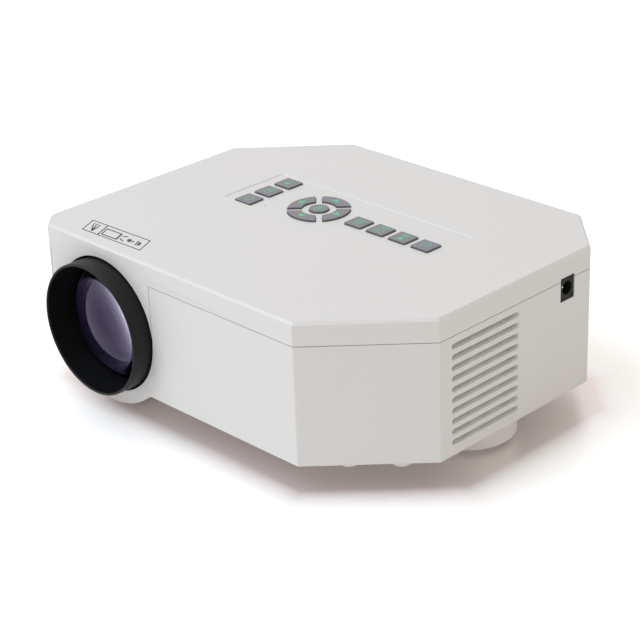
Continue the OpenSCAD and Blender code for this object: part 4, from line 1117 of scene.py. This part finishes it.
SLOT_FINISH = {
    "shell_white": white_case, "ring_black": ring_black, "inner_black": inner_black,
    "key_grey": key_grey, "board_green": board_green, "part_black": moulded_black,
    "part_ivory": ivory_nylon, "socket_blue": socket_blue, "ir_red": window_red,
    "led_clear": light_clear, "led_yellow": lamp_yellow, "aluminium": drawn_aluminium,
    "can_metal": can_sleeve, "steel": screw_steel, "copper_coil": wound_copper,
    "brass": turned_brass, "mirror": mirror_silver, "clear_glass": clear_glass,
    "coated_glass": coated_glass, "panel_grey": panel_glass, "rubber_black": soft_rubber,
    "flex_amber": flex_amber, "wire_red": wire_red,
}
for node, piece in skins.items():
    finish = cone_paper if node == "speaker_cone" else SLOT_FINISH[SLOT_OF[node]]
    hand_over(coat(piece, finish), node)
for node, solid in frame["nodes"].items():
    coat(solid, SLOT_FINISH[SLOT_OF[node]])
print("finishes on", len(frame["nodes"]), "solids")

# %% [markdown]
# The corner of the cover above the lens carries a small printed sign in a slanted
# frame: rays in the small cell, then a picture, its beam, and the lens. The print is
# as thin as the ink on the keys, and rides with the cover.

# %% Printed sign
SIGN_CORNER = Vector((-80.7, -58.8))
SIGN_LENGTH, SIGN_DEPTH = 36.9, 9.4
SIGN_TURN, SIGN_SLANT = 0.036, 0.46


def on_cover(u, v):
    return SIGN_CORNER.x + u + SIGN_SLANT * v, SIGN_CORNER.y + SIGN_TURN * u - v


w, h = SIGN_LENGTH, SIGN_DEPTH
border = [stroke(-0.25, 0, w + 0.25, 0, 0.55), stroke(-0.25, h, w + 0.25, h, 0.55),
          stroke(0, 0, 0, h, 0.55), stroke(w, 0, w, h, 0.55), stroke(9.8, 0, 9.8, h, 0.7)]
rays = [stroke(5, 8.2, u, 3.0, 0.7) for u in (2.4, 4.3, 6.2)] + [stroke(2, 2.2, 6.6, 2.2, 0.5)]
picture = [stroke(11.1, 2.6, 20.9, 2.6, 0.7), stroke(11.1, 7.8, 20.9, 7.8, 0.7),
           stroke(11.3, 2.6, 11.3, 7.8, 0.7), stroke(20.7, 2.4, 20.7, 8, 1.0)]
beam = [stroke(22.2, 4.2, 25, 2.9, 0.7), stroke(22.2, 6.2, 25, 7.5, 0.7),
        circle(27.4, 5.2, 1.3, 24), stroke(29.6, 4.2, 29.6, 6.2, 0.6)]
lens = [stroke(32, 3.2, 32, 7.2, 0.7), arc(32.8, 5.2, 1.7, -90, 90)]
sign = coat(printed(border + rays + picture + beam + lens, on_cover, TOP, 0.03), black_ink)
sign.name = sign.data.name = "printed_sign"
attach(sign, "housing")
print(count(sign))

# %% [markdown]
# ## Camera, floor and light
# The camera was solved from the case's edges in the photograph: a turn round the
# object, a height above it, a slight roll and a long lens. Its sideways offsets shift
# it in its own plane, so that the perspective stays right.

# %% Camera
AZIMUTH, ELEVATION, ROLL = 0.802, 0.444, -0.037
DISTANCE, OFFSET_X, OFFSET_Y = 828.387, 2.454, 41.563
TARGET = Vector((0, 4.7, 76.0))
FOCAL_LENGTH, SENSOR = 107.861, 36.0

flat = math.cos(ELEVATION)
back = Vector((math.sin(AZIMUTH) * flat, -math.cos(AZIMUTH) * flat, math.sin(ELEVATION)))
level = ALONG_Z.cross(back).normalized()
upright = back.cross(level)
right_hand = math.cos(ROLL) * level + math.sin(ROLL) * upright
up = math.cos(ROLL) * upright - math.sin(ROLL) * level
camera = bpy.data.objects.new("photo_camera", bpy.data.cameras.new("photo_camera"))
bpy.context.scene.collection.objects.link(camera)
spot = TARGET + back * DISTANCE - right_hand * OFFSET_X - up * OFFSET_Y
axes = Matrix((right_hand, up, back)).transposed().to_4x4()
camera.matrix_world = Matrix.Translation(spot * MM) @ axes
camera.data.lens, camera.data.sensor_width = FOCAL_LENGTH, SENSOR
camera.data.clip_start, camera.data.clip_end = 0.01, 20
bpy.context.scene.camera = camera
print("camera at", [round(v, 3) for v in camera.location])

# %% [markdown]
# The object stands on a plain pale sheet, which is also the backdrop. In the
# photograph the sheet shows a soft brownish mirror image of the underside, which fades
# to plain white within a few centimetres. So its mirror share is worked out from how
# far a point lies outside the case's plan, halving every few millimetres. Along the
# right side it stays strong for longer. The mirror image itself is rendered, but the
# sheet's colour turns brown with the mirror share, a painted shade round the case's
# foot. Where the sheet is looked at, directly or in a reflection, it gives off a little
# light, less where it mirrors. That keeps it white and leaves the shadow. For the rays
# that light the object it gives off a fainter, warmer light.

# %% Floor
bpy.ops.object.select_all(action="DESELECT")
bpy.ops.mesh.primitive_plane_add(size=12, location=(0, 0, 0))
floor = named("floor")
# The brown is painted shade, laid on the sheet near the case.
SHEET_WHITE, PAINTED_CONTACT_SHADE = (0.93, 0.93, 0.93), (0.80, 0.70, 0.67)
MIRROR_AT_EDGE, MIRROR_HALVING, RIGHT_REACH = 0.66, 8.0, 8.0
SEEN_GLOW, SEEN_TINT = 0.35, (0.97, 1.0, 1.02)
CAST_GLOW, CAST_TINT = 0.11, (1.0, 0.98, 0.9)


def outside_plan(finish):
    """How far a point lies outside the case's plan, in millimetres."""
    point = finish.place()
    x, y = (finish.node("ShaderNodeSeparateXYZ", {}, {0: point}, output=i) * (1 / MM) for i in (0, 1))
    y = y - MIDDLE_Y
    half_y = (REAR - FRONT) / 2
    far = (x - RIGHT - RIGHT_REACH).at_least(-1 * x - RIGHT).at_least(abs(y) - half_y)
    for (sx, sy), cut in CUTS.items():
        reach = RIGHT_REACH if sx == sy == 1 else 0
        far = far.at_least((sx * x + sy * y - (RIGHT + half_y - cut)) * math.sqrt(0.5) - reach)
    return far


def seen_share(finish):
    """1 for rays that show the surface to the camera, straight, mirrored or through glass."""
    kinds = "Is Camera Ray", "Is Glossy Ray", "Is Transmission Ray"
    camera_ray, mirrored, through = (finish.node("ShaderNodeLightPath", output=kind) for kind in kinds)
    return (camera_ray + mirrored + through).at_most(1.0)


sheet = Finish("pale_sheet", Roughness=0.38, Emission_Strength=1.0)
mirror = (MIRROR_AT_EDGE * 0.5 ** (outside_plan(sheet) * (1 / MIRROR_HALVING))).at_most(0.8)
seen_rays = seen_share(sheet)
seen_glow = SEEN_GLOW * seen_rays * (1 - mirror)
cast_glow = CAST_GLOW * (1 - seen_rays)
glow = [seen * seen_glow + cast * cast_glow for seen, cast in zip(SEEN_TINT, CAST_TINT)]
# Near the case the sheet turns brown with the mirror share: painted shade.
sheet.feed("Base Color", sheet.blend(1.5 * mirror * mirror, SHEET_WHITE, PAINTED_CONTACT_SHADE))
sheet.feed("Metallic", mirror)
sheet.feed("Emission Color", sheet.node("ShaderNodeCombineColor", {}, dict(enumerate(glow))))
coat(floor, sheet.material)
print("floor laid")

# %% [markdown]
# The light is a softly lit room and one large soft lamp high in front on the left.
# Each face of the case then gets its own even tone: top and front brightest, the cut
# corner darker, the right side darkest. The room is white where it is looked at or
# mirrored, and a warm grey where it lights the object.

# %% Light
ROOM_TONE = (0.594, 0.532, 0.448)
room = Finish("studio", bpy.data.worlds.new("studio"))
bpy.context.scene.world = room.material
room.feed("Color", room.blend(seen_share(room), ROOM_TONE, (1.0, 1.0, 1.0)))

LAMP_PLACE, LAMP_AIM = Vector((-0.60, -1.00, 1.86)), Vector((0, 0, 0.03))
LAMP_SIZE, LAMP_WATTS, LAMP_TINT = 1.5, 30.5, (0.76, 0.85, 1.0)
lamp = bpy.data.objects.new("high_left", bpy.data.lights.new("high_left", "AREA"))
bpy.context.scene.collection.objects.link(lamp)
lamp.data.shape, lamp.data.size, lamp.data.size_y = "RECTANGLE", LAMP_SIZE, LAMP_SIZE
lamp.data.energy, lamp.data.color = LAMP_WATTS, LAMP_TINT
lamp.location = LAMP_PLACE
lamp.rotation_mode = "QUATERNION"
lamp.rotation_quaternion = (LAMP_AIM - LAMP_PLACE).to_track_quat("-Z", "Y")
bpy.context.scene.view_settings.view_transform = "Standard"
print("light set")
